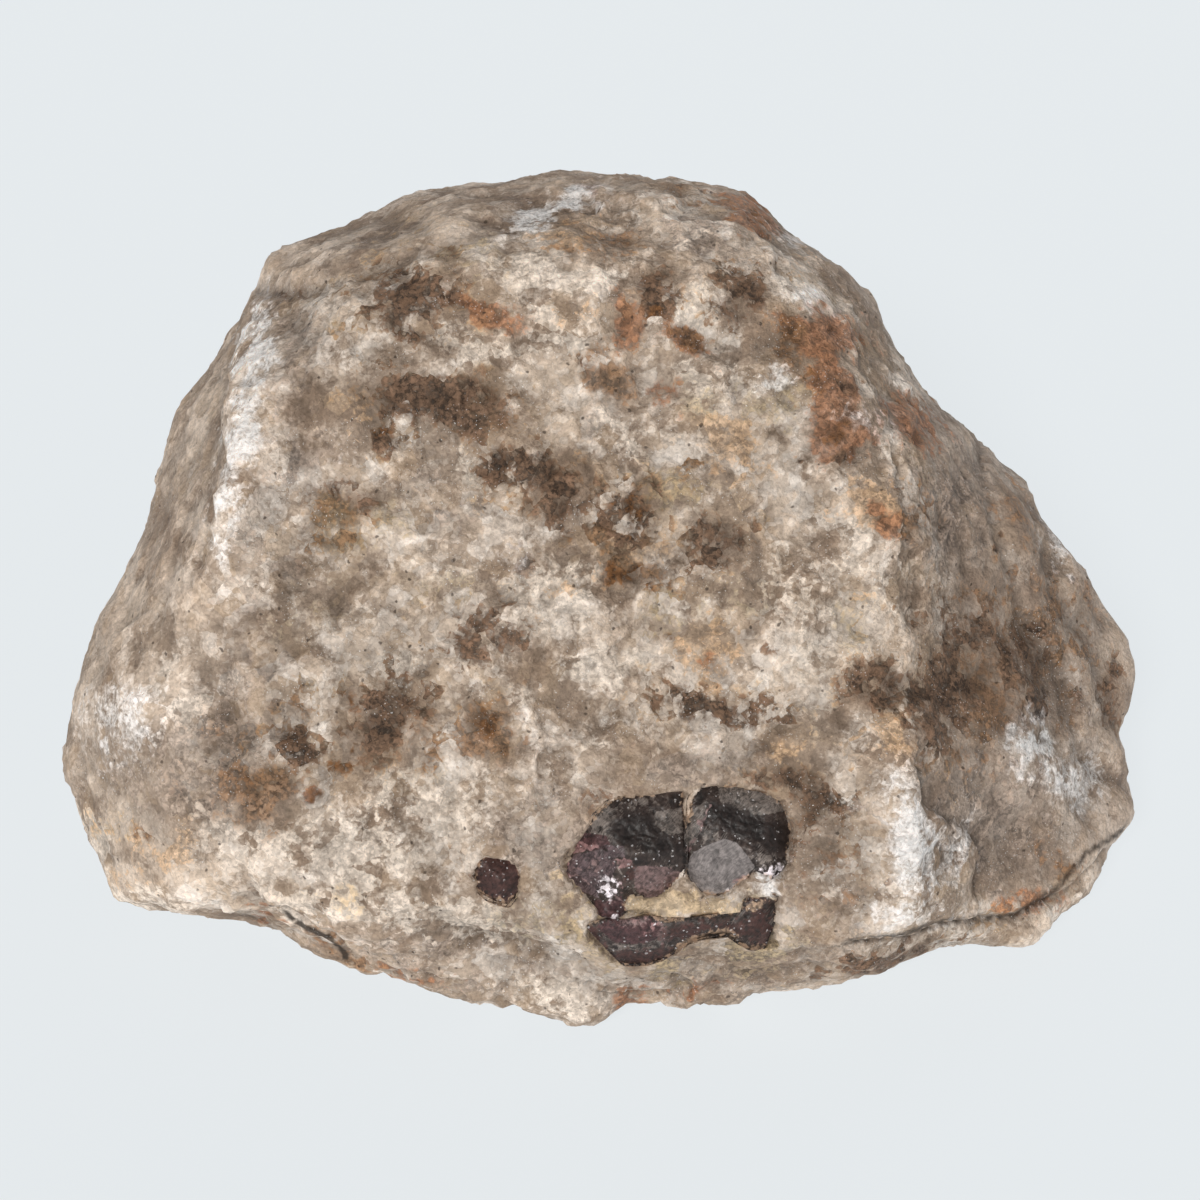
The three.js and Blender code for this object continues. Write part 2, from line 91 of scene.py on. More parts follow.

# Cracks, steps and flake edges on the front: a line in the picture's pixels, its width in pixels, and
# in millimetres how deep it is cut and how far the ground on the right of the way it runs drops. "dark"
# is how strong the painted shadow along it is; where it isn't given, it follows from the depth.
marks = [
    {"line": [(1136, 822), (1125, 830), (1087, 853), (1059, 887), (1013, 916), (941, 922), (903, 935),
              (847, 942)], "wide": 9, "deep": 1.3, "dark": 0.62, "step": -1.3},
    {"line": [(284, 912), (292, 919), (308, 929), (331, 939), (346, 956)],
     "wide": 5, "deep": 2.6, "dark": 1.0, "step": 0.9},
    {"line": [(240, 913), (262, 921), (300, 946), (360, 967)], "wide": 6, "deep": 0.7, "step": 0.9},
    {"line": [(443, 934), (495, 937), (530, 947), (561, 948), (578, 957)],
     "wide": 3, "deep": 0.5, "step": 0.5},
    {"line": [(360, 962), (430, 985), (470, 985), (520, 1003)], "wide": 4, "deep": 0.6, "step": 0.4},
    {"line": [(505, 962), (560, 972), (600, 992), (680, 996)], "wide": 3, "deep": 0.5, "step": 0.5},
    {"line": [(690, 962), (742, 975), (800, 968), (850, 972)], "wide": 4, "deep": 0.5, "step": 0.4},
    {"line": [(401, 781), (414, 799), (434, 804), (452, 822)], "wide": 3, "deep": 0.3, "step": 0.5},
    {"line": [(562, 663), (605, 653), (631, 635), (640, 610)], "wide": 3, "deep": 0.3, "step": 0.5},
    {"line": [(560, 645), (548, 610), (566, 575), (590, 570)], "wide": 3, "deep": 0.2, "step": -0.5},
    {"line": [(996, 480), (1014, 540), (1030, 615), (1073, 672), (1093, 758), (1125, 787)],
     "wide": 13, "deep": 0.7, "dark": 0.25, "step": 0.8},
    {"line": [(1044, 500), (1062, 590), (1098, 660), (1120, 740)],
     "wide": 11, "deep": 0.6, "dark": 0.2, "step": 0.5},
    {"line": [(912, 764), (916, 800), (935, 815), (955, 824), (975, 850), (972, 892)],
     "wide": 9, "deep": 0.5, "dark": 0.2, "step": -0.9},
    {"line": [(902, 560), (908, 640), (910, 700), (912, 764)], "wide": 22, "deep": 0.0, "step": -0.8},
    {"line": [(258, 292), (300, 294), (340, 287)], "wide": 11, "deep": 0.5, "step": -0.4},
    {"line": [(408, 327), (428, 336), (450, 342), (468, 350)], "wide": 3, "deep": 0.5, "step": 0.3},
    {"line": [(332, 372), (352, 380), (366, 400)], "wide": 3, "deep": 0.2, "step": 0.5},
    {"line": [(500, 470), (478, 478), (484, 500), (520, 520)], "wide": 3, "deep": 0.2, "step": 0.5},
    {"line": [(735, 268), (748, 272), (752, 286)], "wide": 3, "deep": 0.4, "step": 0.3},
    {"line": [(686, 786), (690, 800), (691, 824)], "wide": 4, "deep": 0.3, "step": 0.0},
]
# Lumps and hollows: middle and half-widths in pixels, turn in degrees anticlockwise, height in millimetres.
lumps = [
    (246, 395, 13, 75, -8, 1.5), (224, 520, 14, 50, -10, 1.3), (304, 360, 26, 66, 4, -1.3),
    (290, 500, 30, 66, -8, -0.7), (900, 850, 22, 60, 8, 0.9), (955, 860, 16, 40, -20, 0.6),
    (1128, 655, 14, 28, 0, 1.2), (1120, 745, 14, 26, 0, 1.2), (1136, 822, 12, 14, 0, 1.4),
    (1010, 760, 36, 50, 20, 0.8), (540, 600, 40, 40, 10, 0.5), (690, 903, 60, 10, -6, 0.3),
    (560, 1005, 45, 18, 14, 0.7), (200, 880, 70, 30, 0, 0.6), (896, 590, 18, 30, 10, -0.7),
    (914, 640, 16, 20, 0, 0.7), (896, 690, 18, 22, -10, -0.7), (920, 735, 18, 22, 0, 0.6),
]
# Broad swellings of the silhouette, which also reach behind it; the same facts.
bulges = [
    (1104, 888, 42, 46, 0, 3.2), (1044, 936, 36, 20, 20, 1.6), (1122, 632, 30, 50, 0, 1.7),
    (1086, 578, 24, 24, 0, 1.0), (1134, 806, 28, 34, 0, 1.9), (1130, 700, 22, 24, 0, 0.9),
    (612, 1018, 62, 24, 0, 1.7), (480, 1004, 30, 18, 0, 1.0), (750, 998, 44, 18, 0, 1.0),
    (108, 900, 24, 22, 0, 1.9), (60, 772, 14, 18, 0, 0.7), (95, 614, 18, 18, 0, 0.6),
    (266, 250, 22, 20, 0, 1.5), (396, 197, 26, 14, 20, 0.8), (972, 430, 26, 18, -35, 0.9),
    (784, 230, 34, 18, -35, -0.8), (936, 950, 40, 14, 0, -0.8),
]
# Small pits in the front: place and radius in pixels.
pits = [
    (808, 458, 3), (826, 460, 4), (865, 495, 4), (993, 534, 4), (911, 768, 5), (352, 860, 3), (590, 985, 4),
    (268, 884, 3), (1016, 958, 3), (842, 462, 3), (799, 458, 3),
]

# Areas of the front with a smoother surface, which face away from the light: an outline in the picture's
# pixels, how far the area's edge is feathered, how smooth it is, and how much painted shade darkens it.
areas = [
    {"outline": [(243, 330), (262, 303), (288, 298), (312, 289), (345, 276), (363, 270), (400, 262),
                 (450, 250), (497, 237), (516, 222), (545, 210), (570, 201), (600, 191), (650, 184),
                 (650, 110), (300, 110), (150, 330)], "feather": 7, "calm": 0.45, "paintedShade": 0.35},
    {"outline": [(241, 322), (236, 360), (233, 420), (222, 470), (205, 520), (186, 560), (160, 600),
                 (100, 650), (20, 660), (60, 400), (200, 300)], "feather": 16, "calm": 0.75, "paintedShade": 0.25},
    {"outline": [(210, 560), (200, 660), (180, 760), (170, 900), (60, 920), (20, 700), (90, 600)],
     "feather": 24, "calm": 0.7, "paintedShade": 0.1},
    {"outline": [(684, 176), (764, 212), (795, 234), (871, 305), (909, 372), (936, 400), (960, 300),
                 (800, 150), (700, 130)], "feather": 9, "calm": 0.7, "paintedShade": 0.7},
    {"outline": [(912, 400), (925, 450), (940, 520), (948, 600), (950, 640), (925, 680), (912, 764),
                 (916, 800), (935, 815), (955, 824), (975, 850), (972, 892), (1000, 905), (1180, 830),
                 (1180, 560), (1000, 380)], "feather": 28, "calm": 0.45, "paintedShade": 0.6},
]
# Where the front is darker, or paler where the amount is negative: middle, half-widths, turn in degrees
# and amount. It is partly the rock's own tone and partly painted shade: the darkening along the bottom and
# on the lobe below the crack at the lower right is painted shadow.
shades = [
    (150, 550, 45, 60, 0, -0.2), (250, 340, 28, 42, 0, -0.2), (350, 355, 55, 42, 0, 0.18),
    (350, 640, 60, 45, 0, 0.2), (650, 250, 50, 26, 0, -0.12), (650, 555, 48, 45, 0, 0.13),
    (590, 865, 110, 45, 0, 0.17), (850, 850, 55, 38, 0, 0.22), (350, 955, 40, 28, 0, -0.12),
    (620, 950, 120, 40, 0, 0.14), (960, 950, 48, 30, 0, 0.2), (1050, 670, 50, 90, 0, 0.16),
    (765, 760, 55, 42, 0, 0.13), (250, 760, 45, 42, 0, 0.1), (790, 440, 80, 42, 0, 0.11),
    (950, 560, 30, 50, 0, 0.14), (640, 903, 10, 6, 0, 0.25), (750, 898, 14, 8, 0, 0.3),
]
# Colours of the rock itself, sRGB, and of the painted shade, shadow and glints on it.
stone = {
    "shade": (138, 118, 101),
    "light": (206, 187, 169),
    "clear": (152, 134, 118),
    "warm": (190, 164, 136),
    "flake": (228, 216, 205),
    # painted shade on the surfaces that face away from the light
    "paintedShade": (138, 120, 107),
    # the painted shadow in the cracks
    "speck": (58, 46, 38),
    "crack": (52, 43, 36),
    # the colour of the painted glints on the crystal grains
    "glint": (250, 248, 246),
}
# The kinds of patches on the rock, in the order that they lie over each other: colour, sRGB, how much of
# the rock they may cover, how dark and how pale their grains are, how much darker their middle is, how
# broken they are, how soft their edges are, how fine the breaks are, and how much strays over the rest of
# the rock.
patchKinds = {
    "grey": {"colour": (140, 124, 112), "limit": 0.75, "deep": 0.7, "pale": 1.2, "core": 0.0,
             "broken": 2.3, "edge": 0.7, "grain": 0.4, "stray": 0.7},
    "cream": {"colour": (212, 198, 184), "limit": 0.72, "deep": 0.9, "pale": 1.08, "core": 0.0,
              "broken": 1.5, "edge": 0.5, "grain": 0.25, "stray": 0.6},
    "olive": {"colour": (146, 128, 98), "limit": 0.7, "deep": 0.7, "pale": 1.2, "core": 0.0,
              "broken": 1.9, "edge": 0.8, "grain": 0.5, "stray": 0.55},
    "honey": {"colour": (192, 168, 136), "limit": 0.8, "deep": 0.86, "pale": 1.08, "core": 0.0,
              "broken": 1.6, "edge": 0.5, "grain": 0.4, "stray": 0.0},
    "ochre": {"colour": (184, 152, 120), "limit": 0.75, "deep": 0.76, "pale": 1.1, "core": 0.0,
              "broken": 2.0, "edge": 0.5, "grain": 0.5, "stray": 0.45},
    "rust": {"colour": (146, 100, 70), "limit": 0.82, "deep": 0.74, "pale": 1.12, "core": 0.12,
             "broken": 1.8, "edge": 0.7, "grain": 0.7, "stray": 0.35},
    "brown": {"colour": (116, 87, 62), "limit": 0.82, "deep": 0.66, "pale": 1.25, "core": 0.3,
              "broken": 2.3, "edge": 0.85, "grain": 0.6, "stray": 0.45},
    "dark": {"colour": (90, 71, 58), "limit": 0.88, "deep": 0.6, "pale": 1.35, "core": 0.5,
             "broken": 3.0, "edge": 0.85, "grain": 0.6, "stray": 0.45},
    # white along the ridges: partly a frosted crust, partly painted highlight where they catch the light
    "frostAndHighlight": {"colour": (229, 224, 221), "limit": 0.75, "deep": 0.88, "pale": 1.06, "core": 0.0,
              "broken": 1.7, "edge": 1.0, "grain": 0.8, "stray": 0.3},
    "amber": {"colour": (106, 72, 43), "limit": 0.85, "deep": 0.62, "pale": 1.12, "core": 0.2,
              "broken": 1.8, "edge": 0.7, "grain": 0.6, "stray": 0.0},
}
# Where the patches lie on the front, in the picture's pixels: middle, half-widths, turn in degrees
# anticlockwise, and strength.
patches = {
    "dark": [
        (410, 302, 34, 26, 30, 1.1), (440, 268, 24, 5, 14, 0.5), (432, 400, 46, 22, -12, 1.1),
        (378, 442, 13, 9, -30, 0.9), (532, 470, 34, 18, -20, 1.2), (560, 500, 22, 22, -40, 1.1),
        (632, 514, 22, 20, -20, 1.1), (744, 294, 20, 24, -30, 1.0), (736, 268, 8, 6, 0, 1.0),
        (655, 302, 13, 24, 10, 0.9), (386, 714, 42, 24, 40, 1.1), (290, 750, 20, 16, 0, 1.0),
        (720, 543, 22, 18, 0, 1.0), (715, 708, 44, 13, -12, 0.95), (745, 722, 16, 10, 0, 0.8),
        (884, 682, 24, 18, 0, 1.0), (926, 712, 14, 30, 4, 1.1), (948, 688, 22, 34, 0, 0.85),
        (1012, 656, 28, 22, 0, 0.9), (1034, 702, 14, 22, 15, 1.0), (962, 636, 34, 24, 0, 0.7),
        (1082, 690, 8, 16, 10, 0.8), (1000, 690, 16, 16, 0, 0.6), (790, 786, 40, 9, 0, 0.9),
        (820, 806, 24, 14, 0, 0.7), (812, 852, 22, 26, 0, 0.5), (585, 362, 12, 6, 0, 0.8),
        (844, 380, 9, 6, -30, 0.9), (346, 498, 26, 14, 0, 0.5), (610, 800, 18, 10, 0, 0.4),
        # the dark patch at (895, 958) is painted shadow under the overhang below the crack
        (455, 868, 12, 12, 0, 0.5), (895, 958, 48, 10, 12, 1.0), (1112, 690, 8, 26, 0, 0.6),
        # the dark patch at (268, 300) is painted shadow in the groove behind the top left ridge
        (770, 640, 24, 16, 0, 0.35), (570, 730, 20, 10, 0, 0.2), (268, 300, 26, 7, 0, 0.5),
        (490, 640, 34, 26, 0, 0.55), (400, 650, 22, 12, 0, 0.3), (842, 458, 5, 4, 0, 1.2),
        (799, 457, 4, 3, 0, 1.2), (1042, 766, 6, 8, 0, 0.6), (994, 534, 5, 5, 0, 1.4),
        (520, 560, 20, 12, 0, 0.3),
    ],
    "brown": [
        (632, 503, 15, 17, 20, 1.15), (646, 534, 11, 9, 30, 1.0), (662, 320, 8, 7, 0, 1.0),
        (490, 721, 11, 11, 0, 1.1), (300, 761, 13, 10, 0, 0.9), (476, 414, 28, 18, 10, 1.1),
        (604, 370, 20, 16, -40, 1.0), (606, 548, 14, 34, 20, 0.7), (640, 580, 30, 8, -10, 0.9),
        (262, 790, 32, 20, 0, 1.1), (488, 731, 23, 21, 0, 1.1), (508, 462, 10, 14, 0, 0.9),
        (362, 748, 14, 12, 0, 0.9), (680, 340, 18, 10, -20, 0.9), (420, 738, 26, 16, 30, 0.7),
        (980, 680, 64, 62, 0, 0.85), (1060, 620, 34, 60, 0, 0.6), (600, 245, 34, 12, 4, 0.8),
        (330, 520, 30, 28, 0, 0.75), (1062, 866, 18, 8, -40, 0.9), (640, 742, 18, 12, 0, 0.4),
        (335, 952, 38, 9, -25, 0.8), (790, 348, 13, 24, 0, 1.0), (698, 203, 34, 8, -15, 0.8),
        (835, 850, 34, 50, 0, 0.55), (1018, 528, 26, 40, 0, 0.55), (918, 510, 14, 18, 0, 1.0),
        (148, 836, 8, 6, 0, 0.7), (300, 700, 18, 12, 0, 0.6), (226, 756, 40, 40, 0, 0.35),
        (700, 470, 20, 12, 0, 0.3),
    ],
    "rust": [
        (482, 313, 32, 7, -16, 1.1), (626, 322, 11, 20, 10, 1.1), (682, 343, 24, 11, -22, 1.1),
        (752, 212, 26, 16, -30, 1.1), (818, 334, 38, 17, -10, 1.1), (830, 388, 17, 48, 4, 1.5),
        (846, 436, 28, 16, 20, 1.4), (912, 420, 28, 16, -34, 0.9), (594, 194, 12, 7, 0, 0.9),
        (886, 518, 15, 11, -30, 1.2), (648, 520, 8, 8, 0, 0.6), (706, 660, 10, 10, 0, 0.8),
        (320, 796, 7, 6, 0, 1.1), (1034, 900, 22, 10, 14, 1.1), (262, 913, 12, 4, -10, 0.9),
        (636, 992, 14, 8, 0, 0.9), (690, 988, 12, 5, 10, 0.9), (724, 980, 8, 5, 0, 0.8),
        (398, 978, 16, 4, -24, 0.8), (664, 400, 9, 12, 0, 0.7), (330, 950, 14, 5, -26, 0.7),
        (430, 981, 22, 4, -8, 0.7), (602, 570, 16, 10, -40, 0.6), (1064, 862, 12, 5, -30, 0.6),
        (352, 700, 5, 8, 0, 0.7),
    ],
    "ochre": [
        (728, 447, 34, 22, -14, 0.9), (356, 322, 14, 26, 0, 0.45), (350, 410, 14, 34, 0, 0.5),
        (566, 240, 34, 12, 0, 0.8), (628, 545, 36, 34, 0, 0.85), (786, 745, 18, 10, 0, 0.7),
        (888, 736, 26, 20, -20, 0.95), (870, 728, 36, 18, 0, 0.5), (640, 302, 12, 10, 0, 0.6),
        (112, 828, 20, 13, 0, 0.5), (135, 880, 24, 9, 0, 0.5), (165, 850, 34, 18, 20, 0.5),
        (580, 312, 14, 12, 0, 0.7), (872, 503, 24, 18, 0, 1.2), (790, 232, 14, 16, 0, 0.2),
        (706, 660, 24, 24, 0, 0.9), (1020, 905, 26, 8, 20, 0.6), (860, 600, 14, 22, 0, 0.4),
        (800, 250, 12, 10, 0, 0.6), (470, 300, 40, 18, 0, 0.4), (560, 590, 16, 10, 0, 0.4),
        (305, 730, 26, 14, 0, 0.4),
    ],
    "honey": [
        (690, 904, 56, 11, -3, 1.1), (640, 908, 26, 7, 0, 0.9), (572, 896, 12, 12, -40, 0.9),
        (556, 868, 9, 22, 10, 0.4), (590, 912, 16, 8, -30, 0.4), (112, 828, 20, 13, 0, 0.6),
        (350, 905, 60, 14, -14, 0.4), (780, 905, 20, 12, 0, 0.3),
    ],
    "olive": [
        (330, 520, 18, 18, 0, 0.9), (266, 780, 15, 12, 0, 0.7), (455, 266, 26, 12, 0, 0.6),
        (345, 320, 12, 10, 0, 0.5), (334, 532, 34, 18, -20, 0.8), (382, 512, 22, 20, 0, 0.6),
        (657, 494, 30, 20, 0, 0.7), (857, 620, 18, 30, 0, 0.5), (598, 930, 60, 16, 0, 0.5),
        (560, 912, 50, 20, 0, 0.5), (760, 952, 50, 14, 10, 0.6), (480, 700, 26, 20, 0, 0.4),
        (742, 600, 24, 20, 0, 0.4), (450, 590, 40, 20, 0, 0.35), (310, 620, 30, 20, 0, 0.5),
        (700, 400, 26, 14, 0, 0.4), (655, 965, 50, 12, -6, 0.5), (520, 640, 26, 14, 0, 0.2),
        (672, 608, 26, 20, 0, 0.6), (780, 400, 26, 20, 0, 0.9), (330, 690, 40, 18, 0, 0.4),
        (480, 250, 20, 14, 0, 0.5), (660, 690, 26, 16, 0, 0.4),
    ],
    "grey": [
        (300, 350, 32, 44, 0, 0.7), (310, 460, 44, 50, 0, 0.6), (560, 430, 60, 30, 0, 0.45),
        (985, 815, 70, 70, 0, 0.75), (1060, 640, 50, 90, 0, 0.6), (955, 510, 36, 60, 0, 0.8),
        (860, 500, 20, 60, 0, 0.4), (460, 500, 60, 26, 0, 0.5), (820, 850, 50, 60, 0, 0.4),
        (227, 757, 88, 70, 0, 0.85), (700, 240, 60, 16, -20, 0.85), (760, 420, 26, 60, 0, 0.3),
        (640, 640, 60, 30, 0, 0.3), (545, 515, 60, 50, 0, 0.3), (490, 630, 60, 44, 0, 0.55),
        (870, 300, 40, 30, -40, 0.4), (500, 790, 60, 34, 0, 0.35), (400, 600, 40, 24, 0, 0.35),
        (740, 745, 60, 24, 0, 0.45), (840, 690, 44, 24, 0, 0.3), (560, 980, 80, 12, 0, 0.5),
        (800, 960, 80, 14, 8, 0.6), (380, 960, 60, 10, -24, 0.5), (420, 640, 60, 40, 0, 0.4),
        (630, 450, 50, 26, 0, 0.4), (250, 600, 40, 40, 0, 0.3), (540, 850, 60, 50, 0, 0.7),
        (430, 930, 160, 36, -10, 0.55), (760, 965, 140, 28, 6, 0.7), (690, 780, 70, 24, 0, 0.7),
        (830, 900, 60, 50, 0, 0.5), (255, 540, 50, 60, 0, 0.5), (380, 740, 70, 60, 0, 0.3),
        (640, 1000, 120, 24, 0, 0.5), (340, 850, 80, 50, 0, 0.3), (940, 760, 40, 60, 0, 0.5),
    ],
    # The white along the ridges, partly frosted crust and partly painted highlight.
    "frostAndHighlight": [
        (924, 850, 9, 22, -12, 1.1), (106, 720, 12, 26, 0, 0.7), (255, 350, 12, 40, -8, 1.0),
        (244, 420, 12, 44, -8, 1.0), (230, 496, 11, 40, -12, 0.8), (221, 550, 9, 22, -6, 0.6),
        (120, 718, 30, 34, -20, 0.6), (905, 838, 16, 50, 6, 0.95), (888, 800, 18, 20, 0, 0.5),
        (925, 880, 22, 18, 10, 0.6), (905, 912, 40, 9, 0, 0.65), (870, 912, 26, 9, 10, 0.35),
        (1030, 742, 14, 16, 0, 1.2), (1072, 780, 22, 22, 0, 0.75), (1040, 772, 18, 8, 0, 0.3),
        (960, 850, 10, 36, -14, 0.5), (1060, 545, 9, 30, 24, 0.7), (570, 203, 28, 9, 18, 1.0),
        (540, 216, 30, 10, 24, 0.9), (768, 382, 16, 16, 0, 0.6), (812, 300, 20, 8, -20, 0.6),
        (866, 420, 20, 13, -20, 0.5), (770, 882, 15, 13, 0, 0.9), (340, 452, 16, 8, 30, 0.3),
        (1090, 720, 10, 60, 4, 0.2), (500, 560, 18, 14, 0, 0.3), (1100, 770, 12, 30, 0, 0.25),
        (790, 232, 14, 16, 0, 0.6),
    ],
    "cream": [
        (521, 600, 15, 17, 0, 1.3), (548, 598, 36, 30, 0, 1.0), (604, 666, 44, 14, 8, 0.95),
        (395, 664, 26, 18, 0, 1.0), (460, 345, 50, 14, -10, 0.8), (560, 330, 40, 26, 0, 0.7),
        (600, 280, 44, 16, 0, 0.7), (520, 270, 40, 22, 0, 0.7), (470, 470, 30, 16, 0, 0.7),
        (180, 690, 40, 50, 0, 0.5), (340, 850, 120, 50, 0, 0.7), (430, 800, 60, 34, 0, 0.7),
        (420, 910, 90, 18, -14, 0.8), (310, 905, 60, 14, -16, 0.8), (120, 905, 60, 16, 0, 0.8),
        (90, 860, 20, 34, 0, 0.8), (820, 630, 60, 70, 0, 0.6), (860, 540, 30, 60, 0, 0.6),
        (560, 1000, 44, 16, -12, 0.8), (720, 690, 30, 12, 0, 0.4), (700, 310, 30, 24, 0, 0.8),
        (690, 240, 60, 20, -20, 0.3), (790, 285, 24, 14, -20, 0.7), (1030, 930, 60, 14, 16, 0.3),
        (930, 940, 40, 10, 6, 0.5), (640, 430, 40, 20, 0, 0.6), (370, 600, 30, 22, 0, 0.4),
        (555, 770, 40, 20, 0, 0.4), (520, 690, 26, 14, 0, 0.5), (660, 560, 26, 26, 0, 0.3),
        (720, 380, 44, 30, 0, 0.6), (600, 740, 40, 20, 0, 0.5), (430, 560, 40, 20, 0, 0.4),
        (900, 620, 16, 60, 0, 0.6), (1110, 640, 12, 50, 0, 0.4), (750, 560, 36, 20, 0, 0.5),
    ],
    "amber": [
        (486, 727, 10, 10, 0, 1.05), (632, 506, 9, 13, 20, 0.95), (620, 580, 24, 6, -30, 0.9),
        (346, 761, 7, 7, 0, 0.8), (353, 691, 4, 7, 0, 0.8), (325, 800, 6, 5, 0, 0.9),
        (254, 786, 15, 8, 10, 0.75), (650, 320, 6, 8, 0, 0.8), (846, 428, 16, 7, 10, 0.7),
        (818, 376, 8, 18, 0, 0.65), (710, 660, 7, 8, 0, 0.5), (756, 214, 12, 7, -30, 0.6),
        (671, 634, 4, 8, 0, 0.7), (372, 432, 14, 5, -10, 0.6),
    ],
}
# What surrounds the dark patches: how strong it is beside them and how much wider it reaches.
halos = {"brown": (0.62, 1.3), "ochre": (0.5, 1.7), "olive": (0.42, 2.1)}
# Soft fields that vary the rock's colour: their size in millimetres, and the noise's seed and octaves.
fields = {"tone": (9.0, 3.0, 3), "clear": (7.0, 17.0, 3), "twinkle": (6.0, 29.0, 2)}
# How the patches' borders sway: how far in pixels, at what size in millimetres, and the noise's facts.
sways = [
    {"reach": 15, "size": 5.0, "octaves": 3, "seeds": (53.0, 61.0)},
    {"reach": 8, "size": 1.4, "octaves": 2, "seeds": (73.0, 79.0)},
]
# Patches on the back: millimetres to the right as seen from the front and up from the ground.
rearPatches = {
    "amber": [(12, 40, 3, 5, 0, 0.6), (-24, 56, 4, 3, 0, 0.6)],
    "dark": [
        (-18, 40, 9, 5, 20, 0.9), (22, 58, 6, 8, 0, 0.7), (30, 20, 8, 5, -20, 0.8), (-40, 22, 6, 7, 0, 0.7),
    ],
    "brown": [(-8, 44, 10, 5, 10, 0.8), (26, 52, 7, 6, 0, 0.7), (6, 14, 9, 5, 0, 0.7)],
    "rust": [
        (-30, 58, 10, 6, 30, 0.8), (12, 36, 5, 12, 0, 0.9), (44, 30, 8, 6, 0, 0.6), (-6, 70, 12, 4, 0, 0.7),
    ],
    "ochre": [(-26, 30, 12, 7, 0, 0.6), (34, 44, 9, 7, 0, 0.6), (0, 60, 10, 6, 0, 0.5)],
    "honey": [(14, 46, 10, 6, 0, 0.5), (-30, 40, 9, 5, 0, 0.5)],
    "olive": [(-44, 36, 9, 8, 0, 0.6), (18, 10, 12, 6, 0, 0.6), (-10, 22, 12, 8, 0, 0.5)],
    "grey": [(0, 48, 30, 14, 0, 0.5), (40, 20, 18, 12, 0, 0.6), (-34, 14, 16, 9, 0, 0.6)],
    "frostAndHighlight": [(-24, 48, 8, 3, 18, 0.8), (10, 26, 7, 4, -20, 0.6), (36, 34, 4, 8, 0, 0.6)],
    "cream": [
        (-6, 32, 14, 8, 0, 0.7), (24, 36, 12, 9, 0, 0.6), (-40, 50, 9, 8, 0, 0.6), (8, 66, 12, 6, 0, 0.6),
    ],
}

# All the garnets, in millimetres: the mesh's fineness, how far it grows past the CAD's gap, the depth at
# which painted shade fills a hollow and painted light a sharp edge, and the small breaks on it, each with a
# size, a slope and a seed.
crystal = {"voxel": 0.17, "grown": 0.45, "hollow": 0.05, "chips": [(2.6, 0.22, 5.0), (1.1, 0.16, 9.0)]}
# Each garnet: outline in the picture's pixels, how strong its own relief is, and how far its border is
# tucked into the rock, in millimetres.
garnets = {
    "garnet_upper_left": {
        "relief": 0.3, "tuck": 0.55,
        "outline": [(561, 869), (562, 860), (577, 838), (590, 823), (606, 805), (617, 799), (634, 795),
                    (651, 794), (666, 788), (683, 786), (684, 808), (686, 823), (690, 840), (693, 860),
                    (687, 874), (675, 884), (670, 890), (666, 900), (658, 904), (649, 904), (642, 901),
                    (630, 901), (625, 905), (626, 916), (622, 934), (602, 934), (596, 917), (586, 908),
                    (580, 895), (569, 885), (562, 877)],
    },
    "garnet_upper_right": {
        "relief": 0.3, "tuck": 0.55,
        "outline": [(697, 790), (701, 786), (717, 783), (737, 785), (758, 789), (776, 795), (786, 808),
                    (792, 824), (792, 839), (787, 852), (790, 866), (781, 880), (768, 878), (757, 873),
                    (741, 884), (728, 893), (714, 897), (700, 893), (689, 882), (683, 868), (680, 850),
                    (684, 836), (689, 822), (690, 806)],
    },
    "garnet_lower": {
        "relief": 0.2, "tuck": 0.4,
        "outline": [(582, 930), (590, 924), (597, 921), (600, 904), (620, 904), (629, 914), (646, 914),
                    (658, 919), (669, 922), (680, 920), (701, 916), (717, 914), (733, 914), (741, 910),
                    (743, 902), (747, 895), (758, 896), (778, 893), (777, 909), (774, 923), (778, 931),
                    (777, 945), (763, 948), (749, 948), (739, 941), (727, 932), (710, 933), (699, 937),
                    (683, 944), (674, 954), (662, 961), (646, 966), (630, 966), (617, 964), (606, 957),
                    (594, 948), (586, 938)],
    },
    "garnet_small": {
        "relief": 0.18, "tuck": 0.3,
        "outline": [(475, 872), (482, 857), (497, 853), (514, 859), (521, 871), (520, 889), (508, 904),
                    (489, 898), (477, 888)],
    },
}
# The colours of the crystals' facets and coatings, sRGB, in the order that they lie over each other, how
# much of each may show, and how much the fine streaks show in it. "ragged" and "deep" stand where its
# border is less ragged than the others' and its grains are less deep.
facetKinds = {
    "grey": {"colour": (116, 107, 101), "limit": 0.8, "streaks": 0.6},
    "black": {"colour": (36, 29, 27), "limit": 0.92, "streaks": 0.2},
    "plum": {"colour": (74, 50, 51), "limit": 0.88, "streaks": 0.5},
    "blue": {"colour": (90, 75, 77), "limit": 0.85, "streaks": 0.6},
    "mauve": {"colour": (116, 95, 93), "limit": 0.85, "streaks": 0.3},
    "ember": {"colour": (66, 43, 39), "limit": 0.85, "streaks": 0.4},
    "slate": {"colour": (119, 112, 110), "limit": 0.97, "streaks": 0.5, "ragged": 0.35, "deep": 0.82},
    # pink along the crystals' ridges and scratches: partly their colour, partly painted highlight
    "pinkAndHighlight": {"colour": (142, 109, 107), "limit": 0.7, "streaks": 0.3},
    "crust": {"colour": (162, 137, 115), "limit": 0.85, "streaks": 0.0},
    # white flecks and lines on the crystals, partly crust and partly painted highlight
    "frostAndHighlight": {"colour": (232, 222, 226), "limit": 0.95, "streaks": 0.0},
}
# the last is the colour of the painted glints
facetBase = {"deep": (34, 27, 25), "light": (74, 62, 57), "glint": (238, 234, 234)}
